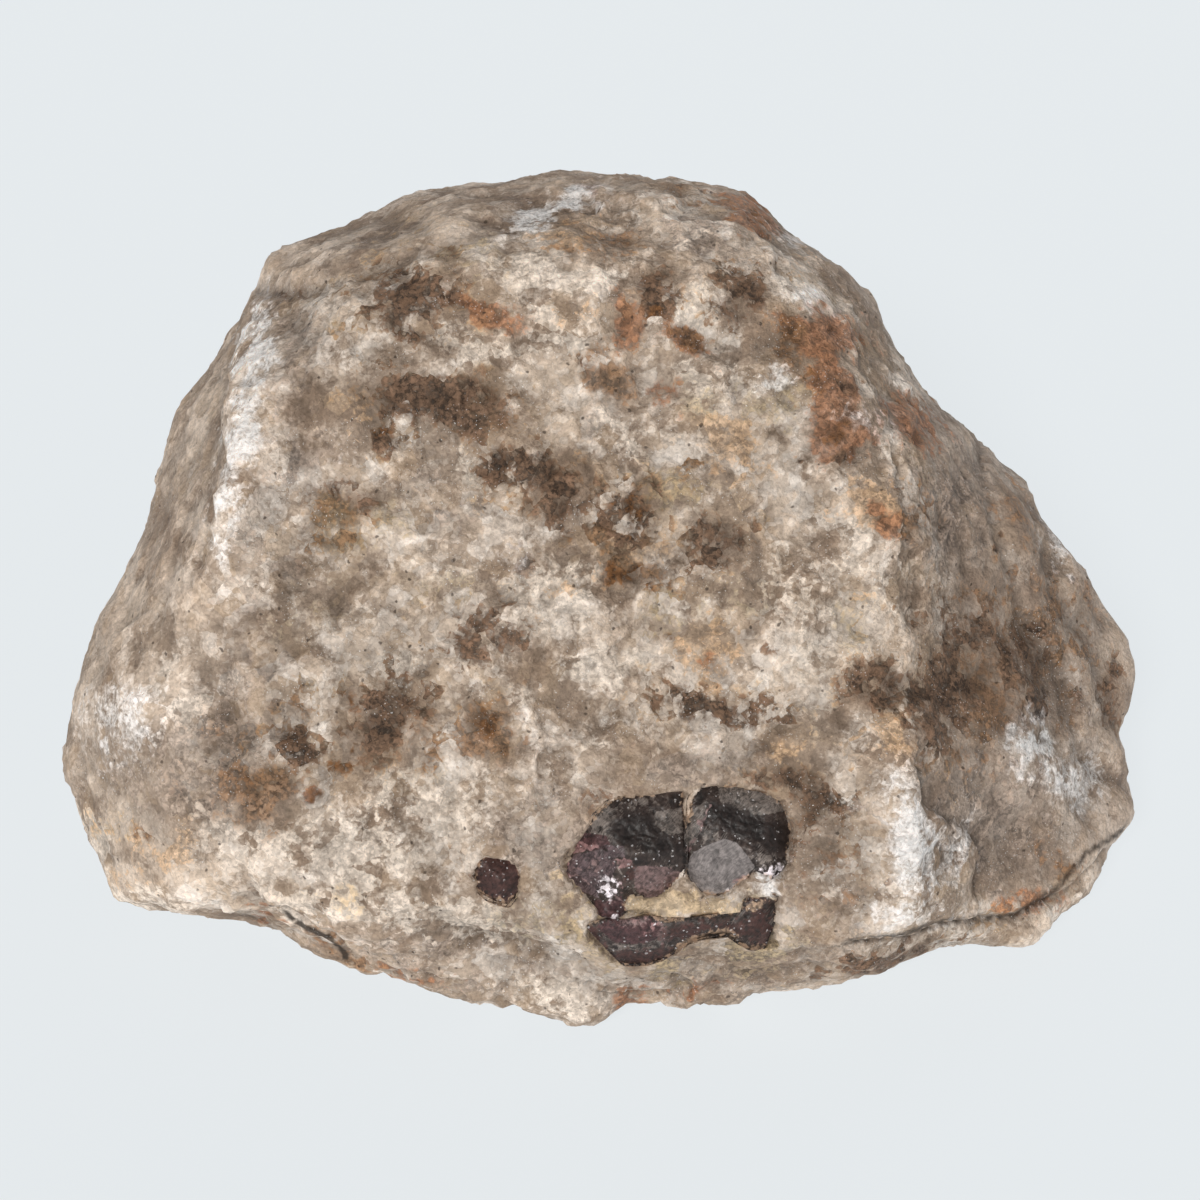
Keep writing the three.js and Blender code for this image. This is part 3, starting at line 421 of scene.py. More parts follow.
# Facets with a plain border: an outline in the picture's pixels and how far its edge is feathered.
facetFields = {
    "grey": [
        {"feather": 2.0,
         "outline": [(707, 801), (712, 806), (702, 822), (697, 845), (684, 850), (684, 838), (690, 822),
                     (696, 808)]},
        {"feather": 5.0,
         "outline": [(717, 784), (740, 786), (783, 798), (786, 812), (760, 816), (735, 812), (720, 802)]},
        {"feather": 6.0,
         "outline": [(654, 812), (682, 808), (684, 834), (668, 836), (655, 826)]},
    ],
    "plum": [
        {"feather": 3.0,
         "outline": [(570, 848), (581, 833), (606, 836), (612, 849), (590, 852)]},
        {"feather": 3.0,
         "outline": [(592, 900), (612, 902), (622, 896), (626, 912), (614, 921), (597, 917)]},
        {"feather": 2.0,
         "outline": [(598, 928), (604, 921), (628, 917), (650, 919), (664, 930), (655, 941), (632, 945),
                     (612, 942)]},
    ],
    "blue": [
        {"feather": 3.0,
         "outline": [(566, 864), (576, 855), (600, 850), (612, 852), (617, 866), (610, 884), (596, 898),
                     (578, 890), (566, 878)]},
        {"feather": 3.0,
         "outline": [(603, 845), (624, 847), (626, 858), (612, 858)]},
    ],
    "mauve": [
        {"feather": 5.0,
         "outline": [(633, 868), (652, 866), (672, 868), (682, 874), (672, 886), (664, 901), (648, 901),
                     (636, 892)]},
    ],
    "slate": [
        {"feather": 4.0,
         "outline": [(725, 839), (737, 843), (747, 855), (756, 868), (741, 882), (727, 893), (714, 896),
                     (701, 892), (691, 881), (687, 867), (692, 854), (704, 847), (714, 843)]},
    ],
}
# Fine ridges and scratches on the crystals: kind, half-width in pixels, strength and line.
facetLines = [
    ("grey", 1.6, 1.0, [(592, 940), (606, 947), (620, 951), (640, 951), (656, 946), (668, 936)]),
    ("mauve", 1.4, 0.9, [(634, 917), (648, 918), (660, 924), (669, 934), (662, 944)]),
    ("frostAndHighlight", 0.7, 0.9, [(658, 923), (652, 929), (645, 936)]),
    ("pinkAndHighlight", 1.5, 1.0, [(563, 856), (571, 849), (582, 847), (592, 851)]),
    ("pinkAndHighlight", 1.2, 0.8, [(561, 862), (563, 872), (570, 882)]),
    ("grey", 1.0, 0.9, [(590, 840), (600, 827), (612, 816)]),
    ("grey", 1.0, 0.9, [(594, 834), (606, 822), (620, 808)]),
    ("grey", 1.2, 0.8, [(600, 836), (610, 830), (618, 830)]),
    ("grey", 1.0, 0.8, [(588, 831), (598, 821), (607, 808)]),
    ("mauve", 1.5, 0.9, [(709, 806), (703, 820), (694, 836), (687, 850)]),
    ("grey", 1.4, 1.0, [(700, 806), (694, 820), (688, 838)]),
    ("black", 1.2, 1.0, [(712, 808), (705, 824), (697, 842)]),
    ("black", 1.3, 1.0, [(684, 840), (685, 856), (686, 872), (684, 884)]),
    ("grey", 1.2, 0.8, [(612, 857), (618, 868), (630, 884), (640, 896)]),
    ("black", 1.0, 0.9, [(567, 866), (578, 860), (592, 858)]),
    ("mauve", 1.0, 0.8, [(568, 872), (580, 868), (590, 870)]),
    ("mauve", 1.0, 0.8, [(572, 880), (584, 878), (594, 884)]),
    ("mauve", 1.1, 0.9, [(612, 888), (620, 902), (626, 914)]),
    ("black", 1.0, 0.7, [(704, 858), (712, 864), (722, 862)]),
    ("black", 0.8, 0.7, [(696, 874), (708, 880), (722, 878), (732, 870)]),
    ("grey", 1.2, 0.9, [(728, 922), (742, 928), (756, 926)]),
    ("grey", 1.0, 0.7, [(740, 938), (756, 940), (772, 940)]),
]
# Patches of the facets' colours: middle, half-widths, turn in degrees anticlockwise, and strength.
facetPatches = {
    "grey": [
        (603, 822, 12, 16, 0, 0.9), (665, 823, 14, 12, 0, 0.6), (640, 803, 22, 6, 14, 0.55),
        (710, 837, 9, 8, 0, 0.6), (765, 862, 18, 14, -20, 0.65), (668, 800, 14, 8, 0, 0.4),
        (762, 938, 12, 7, 0, 0.5), (630, 846, 16, 10, 0, 0.3), (632, 948, 26, 3, -4, 0.7),
        (752, 926, 14, 5, 24, 0.35), (785, 866, 8, 8, 0, 0.6),
    ],
    "black": [
        (634, 830, 20, 13, 0, 1.1), (657, 846, 24, 12, -20, 0.9), (676, 801, 6, 6, 0, 1.0),
        (742, 824, 30, 10, -24, 1.2), (776, 838, 14, 14, 0, 1.0), (716, 812, 10, 8, -40, 1.0),
        (700, 797, 6, 8, 0, 0.9), (580, 846, 10, 5, 30, 0.5), (640, 862, 12, 6, 0, 0.6),
        (712, 926, 14, 6, 0, 0.3), (765, 915, 8, 12, 0, 0.3),
    ],
    "plum": [(606, 905, 12, 10, 0, 0.5), (628, 930, 34, 12, 4, 0.6), (690, 930, 14, 6, 0, 0.4)],
    "blue": [(582, 872, 10, 14, 20, 0.5)],
    "mauve": [
        (655, 884, 20, 12, 0, 0.4), (595, 863, 4, 7, 10, 0.8), (634, 922, 12, 5, 0, 0.7),
        (612, 902, 4, 14, -30, 0.4), (662, 934, 6, 8, -20, 0.6),
    ],
    "ember": [
        (498, 878, 30, 30, 0, 1.0), (590, 936, 12, 8, -40, 0.9), (600, 950, 14, 6, -30, 0.9),
        (640, 958, 36, 8, 4, 0.9), (690, 931, 26, 9, 10, 0.8), (630, 875, 5, 8, -40, 0.8),
        (671, 890, 4, 8, 0, 0.8), (735, 926, 18, 9, 0, 0.7), (760, 926, 20, 26, 0, 0.75),
    ],
    # Pink along the ridges, partly the crystals' colour and partly painted highlight.
    "pinkAndHighlight": [
        (578, 850, 14, 2.5, 10, 1.0), (565, 864, 3, 9, -20, 0.9), (623, 863, 6, 4, 0, 1.0),
        (651, 929, 3, 8, -38, 0.8), (634, 920, 10, 4, 0, 0.45), (620, 888, 3, 9, 20, 0.5),
        (740, 880, 12, 3, 20, 0.5), (650, 916, 9, 2, 0, 0.6),
    ],
    "crust": [(756, 907, 8, 3.4, 20, 1.0), (686, 876, 3, 7, 0, 0.6), (762, 886, 12, 5, 20, 0.7)],
    "frostAndHighlight": [
        (608, 888, 8, 8, 0, 0.95), (770, 876, 14, 8, 10, 1.0), (752, 888, 10, 3, 20, 0.7),
        (730, 889, 5, 4, 0, 0.6), (614, 917, 4, 2, 0, 0.7), (659, 853, 3, 3, 0, 0.6),
    ],
}


def smoothstep(low, high, value):  # 0 at low to 1 at high, smooth at both ends
    share = np.clip((value - low) / (high - low), 0.0, 1.0)
    return share * share * (3.0 - 2.0 * share)


def inFace(points):  # from the row's frame to the face's, in millimetres
    local = points / mm - middle
    return np.stack((local @ across, local @ upward, local @ outward), axis=1)


def inPicture(points):  # where the eye in front of the face sees them, in pixels
    place = inFace(points)
    nearness = face["eye"] / (face["eye"] - place[:, 2]) / picture["pixel"]
    x = picture["middle"] + place[:, 0] * nearness
    y = picture["middle"] - place[:, 1] * nearness
    return np.stack((x, y), axis=1)


def besideLine(points, line):  # distance to a line of points, and the side: 1 to the right of its way
    nearest = np.full(len(points), 1e9)
    side = np.zeros(len(points))
    corners = np.array(line, dtype=float)
    for start, end in zip(corners, corners[1:]):
        along = end - start
        offset = points - start
        share = np.clip(offset @ along / (along @ along), 0.0, 1.0)
        gap = np.linalg.norm(offset - share[:, None] * along, axis=1)
        closer = gap < nearest
        turned = np.sign(along[0] * offset[:, 1] - along[1] * offset[:, 0])
        side[closer] = turned[closer]
        nearest = np.minimum(nearest, gap)
    return nearest, side


def insideOutline(points, outline):  # distance in from a closed outline, negative outside it
    corners = np.array(outline, dtype=float)
    crossed = np.zeros(len(points), dtype=int)
    for start, end in zip(corners, np.roll(corners, -1, axis=0)):
        spans = (start[1] > points[:, 1]) != (end[1] > points[:, 1])
        rise = end[1] - start[1] if end[1] != start[1] else 1e-9
        at = start[0] + (points[:, 1] - start[1]) / rise * (end[0] - start[0])
        crossed += spans & (points[:, 0] < at)
    gap, _ = besideLine(points, outline + outline[:1])
    return np.where(crossed % 2 == 1, gap, -gap)


def insideGarnets(seen):  # distance in from the nearest garnet's outline, in millimetres
    return np.max([insideOutline(seen, g["outline"]) for g in garnets.values()], axis=0) * picture["pixel"]


def ovalShare(points, x, y, wide, high, turn, fall):  # 1 in the middle of an oval, fading outwards
    t = math.radians(turn)
    dx = points[:, 0] - x
    dy = points[:, 1] - y
    a = (dx * math.cos(t) - dy * math.sin(t)) / wide
    b = (dx * math.sin(t) + dy * math.cos(t)) / high
    return np.exp(-fall * (a * a + b * b))


def lumpHeight(points, listed):  # the height that the listed lumps add up to at each point
    return sum(height * ovalShare(points, *oval, 1.0) for *oval, height in listed)


def patchStrength(points, listed, upright=1):  # strongest of the listed patches at each point
    strongest = np.zeros(len(points))
    for x, y, wide, high, turn, strength in listed:
        share = ovalShare(points, x, y, wide, high, turn * upright, 0.5)
        strongest = np.maximum(strongest, strength * share)
    return strongest


def geodesicBall(steps):  # an even ball of triangles
    golden = (1 + 5 ** 0.5) / 2
    corners = np.array([(-1, golden, 0), (1, golden, 0), (-1, -golden, 0), (1, -golden, 0), (0, -1, golden),
                        (0, 1, golden), (0, -1, -golden), (0, 1, -golden), (golden, 0, -1), (golden, 0, 1),
                        (-golden, 0, -1), (-golden, 0, 1)])
    sides = [(0, 11, 5), (0, 5, 1), (0, 1, 7), (0, 7, 10), (0, 10, 11), (1, 5, 9), (5, 11, 4), (11, 10, 2),
             (10, 7, 6), (7, 1, 8), (3, 9, 4), (3, 4, 2), (3, 2, 6), (3, 6, 8), (3, 8, 9), (4, 9, 5),
             (2, 4, 11), (6, 2, 10), (8, 6, 7), (9, 8, 1)]
    cells = [(i, j) for i in range(steps + 1) for j in range(steps + 1 - i)]
    number = {cell: n for n, cell in enumerate(cells)}
    shares = np.array(cells) / steps
    triangles = []
    for i, j in cells:
        if i + j < steps:
            triangles.append((number[i, j], number[i + 1, j], number[i, j + 1]))
        if i + j < steps - 1:
            triangles.append((number[i + 1, j], number[i + 1, j + 1], number[i, j + 1]))
    triangles = np.array(triangles)
    points = []
    faces = []
    for n, (a, b, c) in enumerate(sides):
        i = shares[:, :1]
        j = shares[:, 1:]
        points.append(corners[a] * (1 - i - j) + corners[b] * i + corners[c] * j)
        faces.append(triangles + n * len(cells))
    points = np.concatenate(points)
    _, first, same = np.unique(points.round(6), axis=0, return_index=True, return_inverse=True)
    points = points[first]
    return points / np.linalg.norm(points, axis=1)[:, None], same.reshape(-1)[np.concatenate(faces)]


class Skin:  # the points and triangles of a piece, with what its shaping needs
    def __init__(self, points, triangles):
        self.points = points
        self.triangles = triangles
        pairs = np.concatenate((triangles[:, [0, 1]], triangles[:, [1, 2]], triangles[:, [2, 0]]))
        pairs = np.concatenate((pairs, pairs[:, ::-1]))
        keys = np.unique(pairs[:, 0].astype(np.int64) * len(points) + pairs[:, 1])
        owner = keys // len(points)
        self.beside = keys % len(points)
        self.starts = np.searchsorted(owner, np.arange(len(points)))
        self.count = np.bincount(owner, minlength=len(points))

    def averaged(self, values):
        total = np.add.reduceat(values[self.beside], self.starts, axis=0)
        return total / (self.count[:, None] if values.ndim == 2 else self.count)

    def smooth(self, times, share=0.5):
        for _ in range(times):
            self.points += (self.averaged(self.points) - self.points) * np.reshape(share, (-1, 1))

    def normals(self):
        a, b, c = (self.points[self.triangles[:, k]] for k in range(3))
        facing = np.cross(b - a, c - a)
        total = np.zeros_like(self.points)
        for k in range(3):
            np.add.at(total, self.triangles[:, k], facing)
        return total / np.maximum(np.linalg.norm(total, axis=1), 1e-20)[:, None]

    def hollowness(self, times, scale):  # 1 deep in a hollow, -1 on a sharp edge
        level = self.points
        for _ in range(times):
            level = self.averaged(level)
        raised = np.einsum("ij,ij->i", level - self.points, self.normals())
        return np.clip(raised / scale, -1.0, 1.0)


def nodeTree(names):  # the CAD nodes' surfaces together
    points = []
    faces = []
    for name in names:
        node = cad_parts[name]
        mesh = node.data
        offset = len(points)
        points += [node.matrix_world @ v.co for v in mesh.vertices]
        faces += [tuple(offset + i for i in p.vertices) for p in mesh.polygons]
    return BVHTree.FromPolygons(points, faces)


def grain(place, seed, size):  # soft noise, about -1 to 1
    return noise.noise(place / size + Vector((seed, 2.3 * seed, -seed)))


def chipHeight(place, size, slope, seed):  # small flat breaks, each tilted its own way; and their tone
    at = place / size + Vector((seed, seed, seed))
    gaps, centres = noise.voronoi(at)
    own = noise.cell_vector(centres[0] * 17.3)
    fade = min(1.0, (gaps[1] - gaps[0]) / 0.14)
    tilt = own - Vector((0.5, 0.5, 0.5))
    return 2.0 * slope * size * fade * tilt.dot(at - centres[0]), own.x * 0.6 + own.y * 0.4 - 0.5


def ledgeHeight(place):  # steps between thin layers of the rock
    at = place / ledges["size"] + Vector((ledges["seed"], 0, 0))
    level = ledges["levels"] * noise.fractal(at, 0.8, 2.1, 4)
    part = level - math.floor(level)
    rise = min(1.0, max(0.0, (part - 0.72) / 0.28))
    return ledges["height"] * (rise * rise * (3 - 2 * rise) - part)


def rockRelief(points):  # the height of each point, and how pale the flakes that it lies in are
    heights = np.empty(len(points))
    tones = np.empty(len(points))
    for i, point in enumerate(points):
        place = Vector(point) / mm
        place += noise.noise_vector(place / 1.9) * 0.7
        heights[i] = sum(s["height"] * grain(place, s["seed"], s["size"]) for s in swells)
        heights[i] += ledgeHeight(place)
        tones[i] = 0
        for chip in chips:
            height, tone = chipHeight(place, chip["size"], chip["slope"], chip["seed"])
            heights[i] += height
            tones[i] += chip["tone"] * tone
    return heights, tones


def clouded(points, size, seed, octaves):  # a soft random field, about -0.5 to 0.5
    values = np.empty(len(points))
    shift = Vector((seed, -seed, 1.7 * seed))
    for i, point in enumerate(points):
        values[i] = noise.fractal(Vector(point) / (mm * size) + shift, 0.75, 2.0, octaves)
    return values


def areaShares(seen, front):  # how smooth the smoother areas make each point, and how much painted shade they lay on it
    calm = np.zeros(len(seen))
    paintedShade = np.zeros(len(seen))
    for area in areas:
        share = smoothstep(-0.5, 0.5, insideOutline(seen, area["outline"]) / area["feather"]) * front
        calm = np.maximum(calm, area["calm"] * share)
        paintedShade = np.maximum(paintedShade, area["paintedShade"] * share)
    return calm, paintedShade


def markHeight(seen):  # what the cracks, steps, pits and lumps add, in millimetres
    height = np.zeros(len(seen))
    for mark in marks:
        gap, side = besideLine(seen, mark["line"])
        below = smoothstep(-0.5 * mark["wide"], 0.5 * mark["wide"], side * gap)
        height -= mark["deep"] * np.exp(-(gap / (0.6 * mark["wide"])) ** 2)
        height -= mark["step"] * below * np.exp(-(gap / (6.0 * mark["wide"])) ** 2)
    for x, y, radius in pits:
        height -= rock["pit"] * np.exp(-(np.hypot(seen[:, 0] - x, seen[:, 1] - y) / radius) ** 2)
    return height + lumpHeight(seen, lumps)


def crackShare(seen):  # how much painted shadow from the cracks lies on each point
    share = np.zeros(len(seen))
    for mark in marks:
        gap, _ = besideLine(seen, mark["line"])
        dark = mark.get("dark", rock["crackDark"] * mark["deep"])
        dark = dark * np.exp(-(gap / (0.5 * mark["wide"])) ** 2)
        share = np.maximum(share, dark)
    return share


def facingEye(points, normals):  # how squarely the surface faces the eye in front of it
    towards = eye * mm - points
    towards /= np.linalg.norm(towards, axis=1)[:, None]
    return np.einsum("ij,ij->i", towards, normals)


def makePiece(name, skin, nodes, layers, material):  # an object in the scene, riding on the part
    mesh = bpy.data.meshes.new(name)
    mesh.from_pydata(skin.points.tolist(), [], skin.triangles.tolist())
    mesh.shade_smooth()
    for layer, values in layers.items():
        kept = mesh.attributes.new(layer, "FLOAT", "POINT")
        kept.data.foreach_set("value", values.astype(np.float32))
    mesh.materials.append(material)
    piece = bpy.data.objects.new(name, mesh)
    bpy.context.collection.objects.link(piece)
    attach(piece, "root")
    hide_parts(*nodes)
    print("made", name, "with", len(skin.triangles), "triangles")
    return piece


def denserTowards(directions, centre, reach, share):  # directions drawn together about one of them
    turn = np.arccos(np.clip(directions @ centre, -1, 1))
    flat = directions - (directions @ centre)[:, None] * centre
    flat /= np.maximum(np.linalg.norm(flat, axis=1), 1e-9)[:, None]
    drawn = turn * (1 - share * np.exp(-(turn / reach) ** 2))
    return np.cos(drawn)[:, None] * centre + np.sin(drawn)[:, None] * flat


def makeRock(material):
    directions, triangles = geodesicBall(rock["steps"])
    heart = np.array(rock["heart"])
    directions = directions + rock["towardsFront"] * outward
    directions /= np.linalg.norm(directions, axis=1)[:, None]
    u, v = rock["garnetZone"]
    zone = middle + across * u + upward * v - heart
    zone /= np.linalg.norm(zone)
    directions = denserTowards(directions, zone, rock["zoneReach"], rock["zoneShare"])
    tree = nodeTree(list(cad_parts))
    centre = Vector(heart * mm)
    points = np.empty_like(directions)
    for i, direction in enumerate(directions):
        away = Vector(direction)
        points[i] = tree.ray_cast(centre + away * (rock["outside"] * mm), -away)[0]
    skin = Skin(points, triangles)
    seen = inPicture(skin.points)
    seats = insideGarnets(seen)
    ring = (np.abs(seats) < rock["seatWidth"]) & (inFace(skin.points)[:, 2] > rock["seatDepth"])
    skin.smooth(rock["seatSmoothing"], np.where(ring, 1.0, 0.0))
    low = skin.points[:, 2] / mm
    skin.smooth(rock["smoothing"], 0.5 * smoothstep(0.0, 2.0, low))
    print("the rock's surface is carried out")

    normals = skin.normals()
    seen = inPicture(skin.points)
    facing = facingEye(skin.points, normals)
    front = smoothstep(-0.15, 0.1, facing)
    sides = smoothstep(-0.9, -0.2, facing)
    bySeats = 1 - rock["calmBySeats"] * smoothstep(-4.0, -0.5, seats) * front
    calm, _ = areaShares(seen, front)
    relief, flakes = rockRelief(skin.points)
    grazing = 0.8 + 0.2 * smoothstep(0.05, 0.45, np.abs(facing))
    relief *= bySeats * grazing * (1 - rock["calmByAreas"] * calm)
    height = relief + markHeight(seen) * front + lumpHeight(seen, bulges) * sides
    standing = smoothstep(0.0, rock["level"], low)
    skin.points += normals * (height * standing * mm)[:, None]
    wobble = np.zeros(len(seats))
    for i in np.nonzero(np.abs(seats) < 1.5)[0]:
        place = Vector(skin.points[i]) / mm
        wobble[i] = 0.3 * grain(place, 5.0, 1.4) + 0.22 * grain(place, 8.0, 0.6)
    sunk = smoothstep(0.0, 0.35, seats + wobble) * front
    skin.points -= outward * (rock["sunk"] * mm) * sunk[:, None]
    skin.points[:, 2] = np.maximum(skin.points[:, 2], 0.0)
    print("the rock's relief is cut")

    normals = skin.normals()
    seen = inPicture(skin.points)
    front = smoothstep(-0.05, 0.2, facingEye(skin.points, normals))
    behind = np.stack((skin.points[:, 0], skin.points[:, 2]), axis=1) / mm
    rear = smoothstep(0.1, 0.5, normals[:, 1])
    calm, paintedShade = areaShares(seen, front)
    layers = {"hollow": skin.hollowness(16, rock["hollow"] * mm), "calm": calm, "paintedShade": paintedShade}
    layers["tone"] = 0.5 + 0.7 * clouded(skin.points, *fields["tone"]) + skin.averaged(flakes)
    layers["clear"] = smoothstep(0.02, 0.3, clouded(skin.points, *fields["clear"]))
    # darker and paler places, partly the rock's own tone and partly painted shade
    layers["shade"] = front * sum(amount * ovalShare(seen, *oval, 0.5) for *oval, amount in shades)
    layers["crack"] = crackShare(seen) * front
    layers["twinkle"] = smoothstep(-0.05, 0.3, clouded(skin.points, *fields["twinkle"]))
    for sway in sways:
        seen = seen + sway["reach"] * np.stack(
            [clouded(skin.points, sway["size"], seed, sway["octaves"]) for seed in sway["seeds"]], axis=1)
    for n, kind in enumerate(patchKinds):
        stray = smoothstep(0.2, 0.5, clouded(skin.points, 7.0, 41.0 + 5 * n, 2))
        layers[kind] = patchStrength(seen, patches[kind]) * front
        layers[kind] += patchStrength(behind, rearPatches[kind], -1) * rear
        layers[kind] += stray * patchKinds[kind]["stray"] * (1.0 - 0.9 * front)
    for kind, (share, wider) in halos.items():
        around = [(x, y, wide * wider, high * wider, turn, share * strength)
                  for x, y, wide, high, turn, strength in patches["dark"]]
        layers[kind] = np.maximum(layers[kind], patchStrength(seen, around) * front)
    return makePiece("rock_block", skin, ["matrix"], layers, material)


def makeGarnet(name, facts, material):
    copy = bpy.data.objects.new(name + "_source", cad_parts[name].data.copy())
    bpy.context.collection.objects.link(copy)
    fine = copy.modifiers.new("fine", "REMESH")
    fine.mode = "VOXEL"
    fine.voxel_size = crystal["voxel"] * mm
    copy.modifiers.new("triangles", "TRIANGULATE")
    mesh = copy.evaluated_get(bpy.context.evaluated_depsgraph_get()).to_mesh()
    points = np.array([v.co for v in mesh.vertices], dtype=float)
    triangles = np.array([tuple(p.vertices) for p in mesh.polygons])
    bpy.data.objects.remove(copy)
    skin = Skin(points, triangles)
    skin.smooth(2)
    normals = skin.normals()
    front = smoothstep(0.2, 0.6, normals @ outward)
    heights = np.empty(len(points))
    for i, point in enumerate(skin.points):
        place = Vector(point) / mm
        chipped = sum(chipHeight(place, *chip)[0] for chip in crystal["chips"])
        heights[i] = facts["relief"] * (chipped + 0.5 * grain(place, 2.0, 1.6))
        heights[i] += 0.06 * grain(place, 7.0, 0.5)
    skin.points += normals * ((crystal["grown"] + heights * front) * mm)[:, None]
    seen = inPicture(skin.points)
    inner = insideGarnets(seen)
    border = facts["tuck"] * (1 - smoothstep(-0.3, 2.6, inner)) + 1 - smoothstep(-0.7, 0.1, inner)
    skin.points -= outward * ((crystal["grown"] + border) * front * mm)[:, None]
    layers = {"hollow": skin.hollowness(6, crystal["hollow"] * mm)}
    layers["edge"] = 1 - smoothstep(0.0, 0.9, inner)
    for kind in facetKinds:
        layers[kind] = patchStrength(seen, facetPatches.get(kind, []))
        for field in facetFields.get(kind, []):
            inside = smoothstep(-0.5, 0.5, insideOutline(seen, field["outline"]) / field["feather"])
            layers[kind] = np.maximum(layers[kind], inside)
    swayed = seen + np.stack([5 * clouded(skin.points, 1.6, k, 2) for k in (7.0, 9.0)], axis=1)
    for kind, wide, strength, line in facetLines:
        gap, _ = besideLine(swayed, line)
        layers[kind] = np.maximum(layers[kind], strength * np.exp(-(gap / wide) ** 2))
    return makePiece(name + "_crystal", skin, [name], layers, material)


palest = 247  # the brightest value that a shaded colour may have


def linear(colour):  # from sRGB of 0 to 255 to the renderer's own values
    parts = [c / 255 for c in colour]
    return tuple(c / 12.92 if c <= 0.04045 else ((c + 0.055) / 1.055) ** 2.4 for c in parts)


class Wire:  # a value or colour on its way through a material, with the usual arithmetic
    def __init__(self, tree, socket=None):
        self.tree = tree
        self.socket = socket

    def node(self, kind, settings, values, out=0):
        made = self.tree.nodes.new(kind)
        for name, value in settings.items():
            setattr(made, name, value)
        for name, value in values.items():
            if isinstance(value, Wire):
                self.tree.links.new(value.socket, made.inputs[name])
            else:
                made.inputs[name].default_value = value
        return Wire(self.tree, made.outputs[out])

    def isWide(self):
        return self.socket.type in ("VECTOR", "RGBA")

    def work(self, operation, *values):
        if any(v.isWide() if isinstance(v, Wire) else isinstance(v, tuple) for v in values):
            wide = [v if isinstance(v, (Wire, tuple)) else (v, v, v) for v in values]
            return self.node("ShaderNodeVectorMath", {"operation": operation}, dict(enumerate(wide)))
        return self.node("ShaderNodeMath", {"operation": operation}, dict(enumerate(values)))

    def __add__(self, other):
        return self.work("ADD", self, other)

    def __radd__(self, other):
        return self.work("ADD", other, self)

    def __sub__(self, other):
        return self.work("SUBTRACT", self, other)

    def __rsub__(self, other):
        return self.work("SUBTRACT", other, self)

    def __mul__(self, other):
        return self.work("MULTIPLY", self, other)

    def __rmul__(self, other):
        return self.work("MULTIPLY", other, self)

    def __truediv__(self, other):
        return self.work("DIVIDE", self, other)

    def between(self, low, high):  # 0 at low to 1 at high, smooth at both ends
        values = {"Value": self, "From Min": low, "From Max": high, "To Min": 0.0, "To Max": 1.0}
        return self.node("ShaderNodeMapRange", {"interpolation_type": "SMOOTHSTEP"}, values)

    def towards(self, other, amount):  # this colour drawn towards another
        end = other if isinstance(other, Wire) else (*other, 1.0)
        values = {0: amount, 6: self, 7: end}
        return self.node("ShaderNodeMix", {"data_type": "RGBA"}, values, out=2)

    def flat(self, colour):  # a colour of its own
        return self.node("ShaderNodeCombineXYZ", {}, dict(enumerate(colour)))


class Paint:  # what the materials are mixed from, by place on the object in metres
    def __init__(self, tree):
        self.start = Wire(tree)
        self.place = self.start.node("ShaderNodeTexCoord", {}, {}, out="Object")

    def layer(self, name):
        return self.start.node("ShaderNodeAttribute", {"attribute_name": name}, {}, out="Fac")

    def cloud(self, size, detail, shift=0.0, rough=0.55):
        at = self.place + (shift, shift, -shift)
        values = {"Vector": at, "Scale": 1 / (size * mm), "Detail": detail, "Roughness": rough}
        return self.start.node("ShaderNodeTexNoise", {}, values)

    def cells(self, size, place):  # distance to a cell's middle, and three random values of the cell
        values = {"Vector": place, "Scale": 1 / (size * mm)}
        distance = self.start.node("ShaderNodeTexVoronoi", {}, values)
        colour = Wire(self.start.tree, distance.socket.node.outputs["Color"])
        parts = self.start.node("ShaderNodeSeparateColor", {}, {"Color": colour}).socket.node.outputs
        return distance, *[Wire(self.start.tree, part) for part in parts]

    def wavering(self, size, amount):  # the place, shifted about a little
        values = {"Vector": self.place, "Scale": 1 / (size * mm), "Detail": 2.0}
        shift = self.start.node("ShaderNodeTexNoise", {}, values, out="Color")
        return self.place + (shift - (0.5, 0.5, 0.5)) * (amount * mm)

    def strands(self, length, thickness, turn):  # fine streaks that run at an angle across the face
        t = math.radians(turn)
        along = across * math.cos(t) + upward * math.sin(t)
        aside = upward * math.cos(t) - across * math.sin(t)
        swaying = self.wavering(3.0, 1.6)
        parts = []
        for direction, size in ((along, length), (aside, thickness), (outward, thickness)):
            values = {0: swaying, 1: tuple(direction / (size * mm))}
            dot = {"operation": "DOT_PRODUCT"}
            parts.append(self.start.node("ShaderNodeVectorMath", dot, values, out="Value"))
        values = {"Vector": self.start.flat(parts), "Scale": 1.0, "Detail": 2.0}
        return self.start.node("ShaderNodeTexNoise", {}, values)

    def grained(self, colour, deep, pale, amount):  # a colour between a darker and a paler share of it
        return self.start.flat(shaded(colour, deep)).towards(shaded(colour, pale), amount)

    def bump(self, height, strength, reach):
        values = {"Height": height, "Strength": strength, "Distance": reach * mm}
        return self.start.node("ShaderNodeBump", {}, values)


def newMaterial(name, constants):
    material = bpy.data.materials.new(name)
    material.use_nodes = True
    tree = material.node_tree
    shader = next(n for n in tree.nodes if n.type == "BSDF_PRINCIPLED")
    for socket, value in constants.items():
        shader.inputs[socket].default_value = value
    return material, tree, shader


def shaded(colour, share):  # a colour made darker or paler, kept below white
    share = min(share, palest / max(colour))
    return linear(tuple(share * c for c in colour))


# The sizes of the rock's flakes, grains, specks and glints, in millimetres.
grains = {"plate": 5.2, "big": 2.7, "speck": 1.7, "middling": 1.35, "relief": 1.1, "little": 0.75,
          "fine": 0.75, "tiny": 0.3, "dust": 0.14}


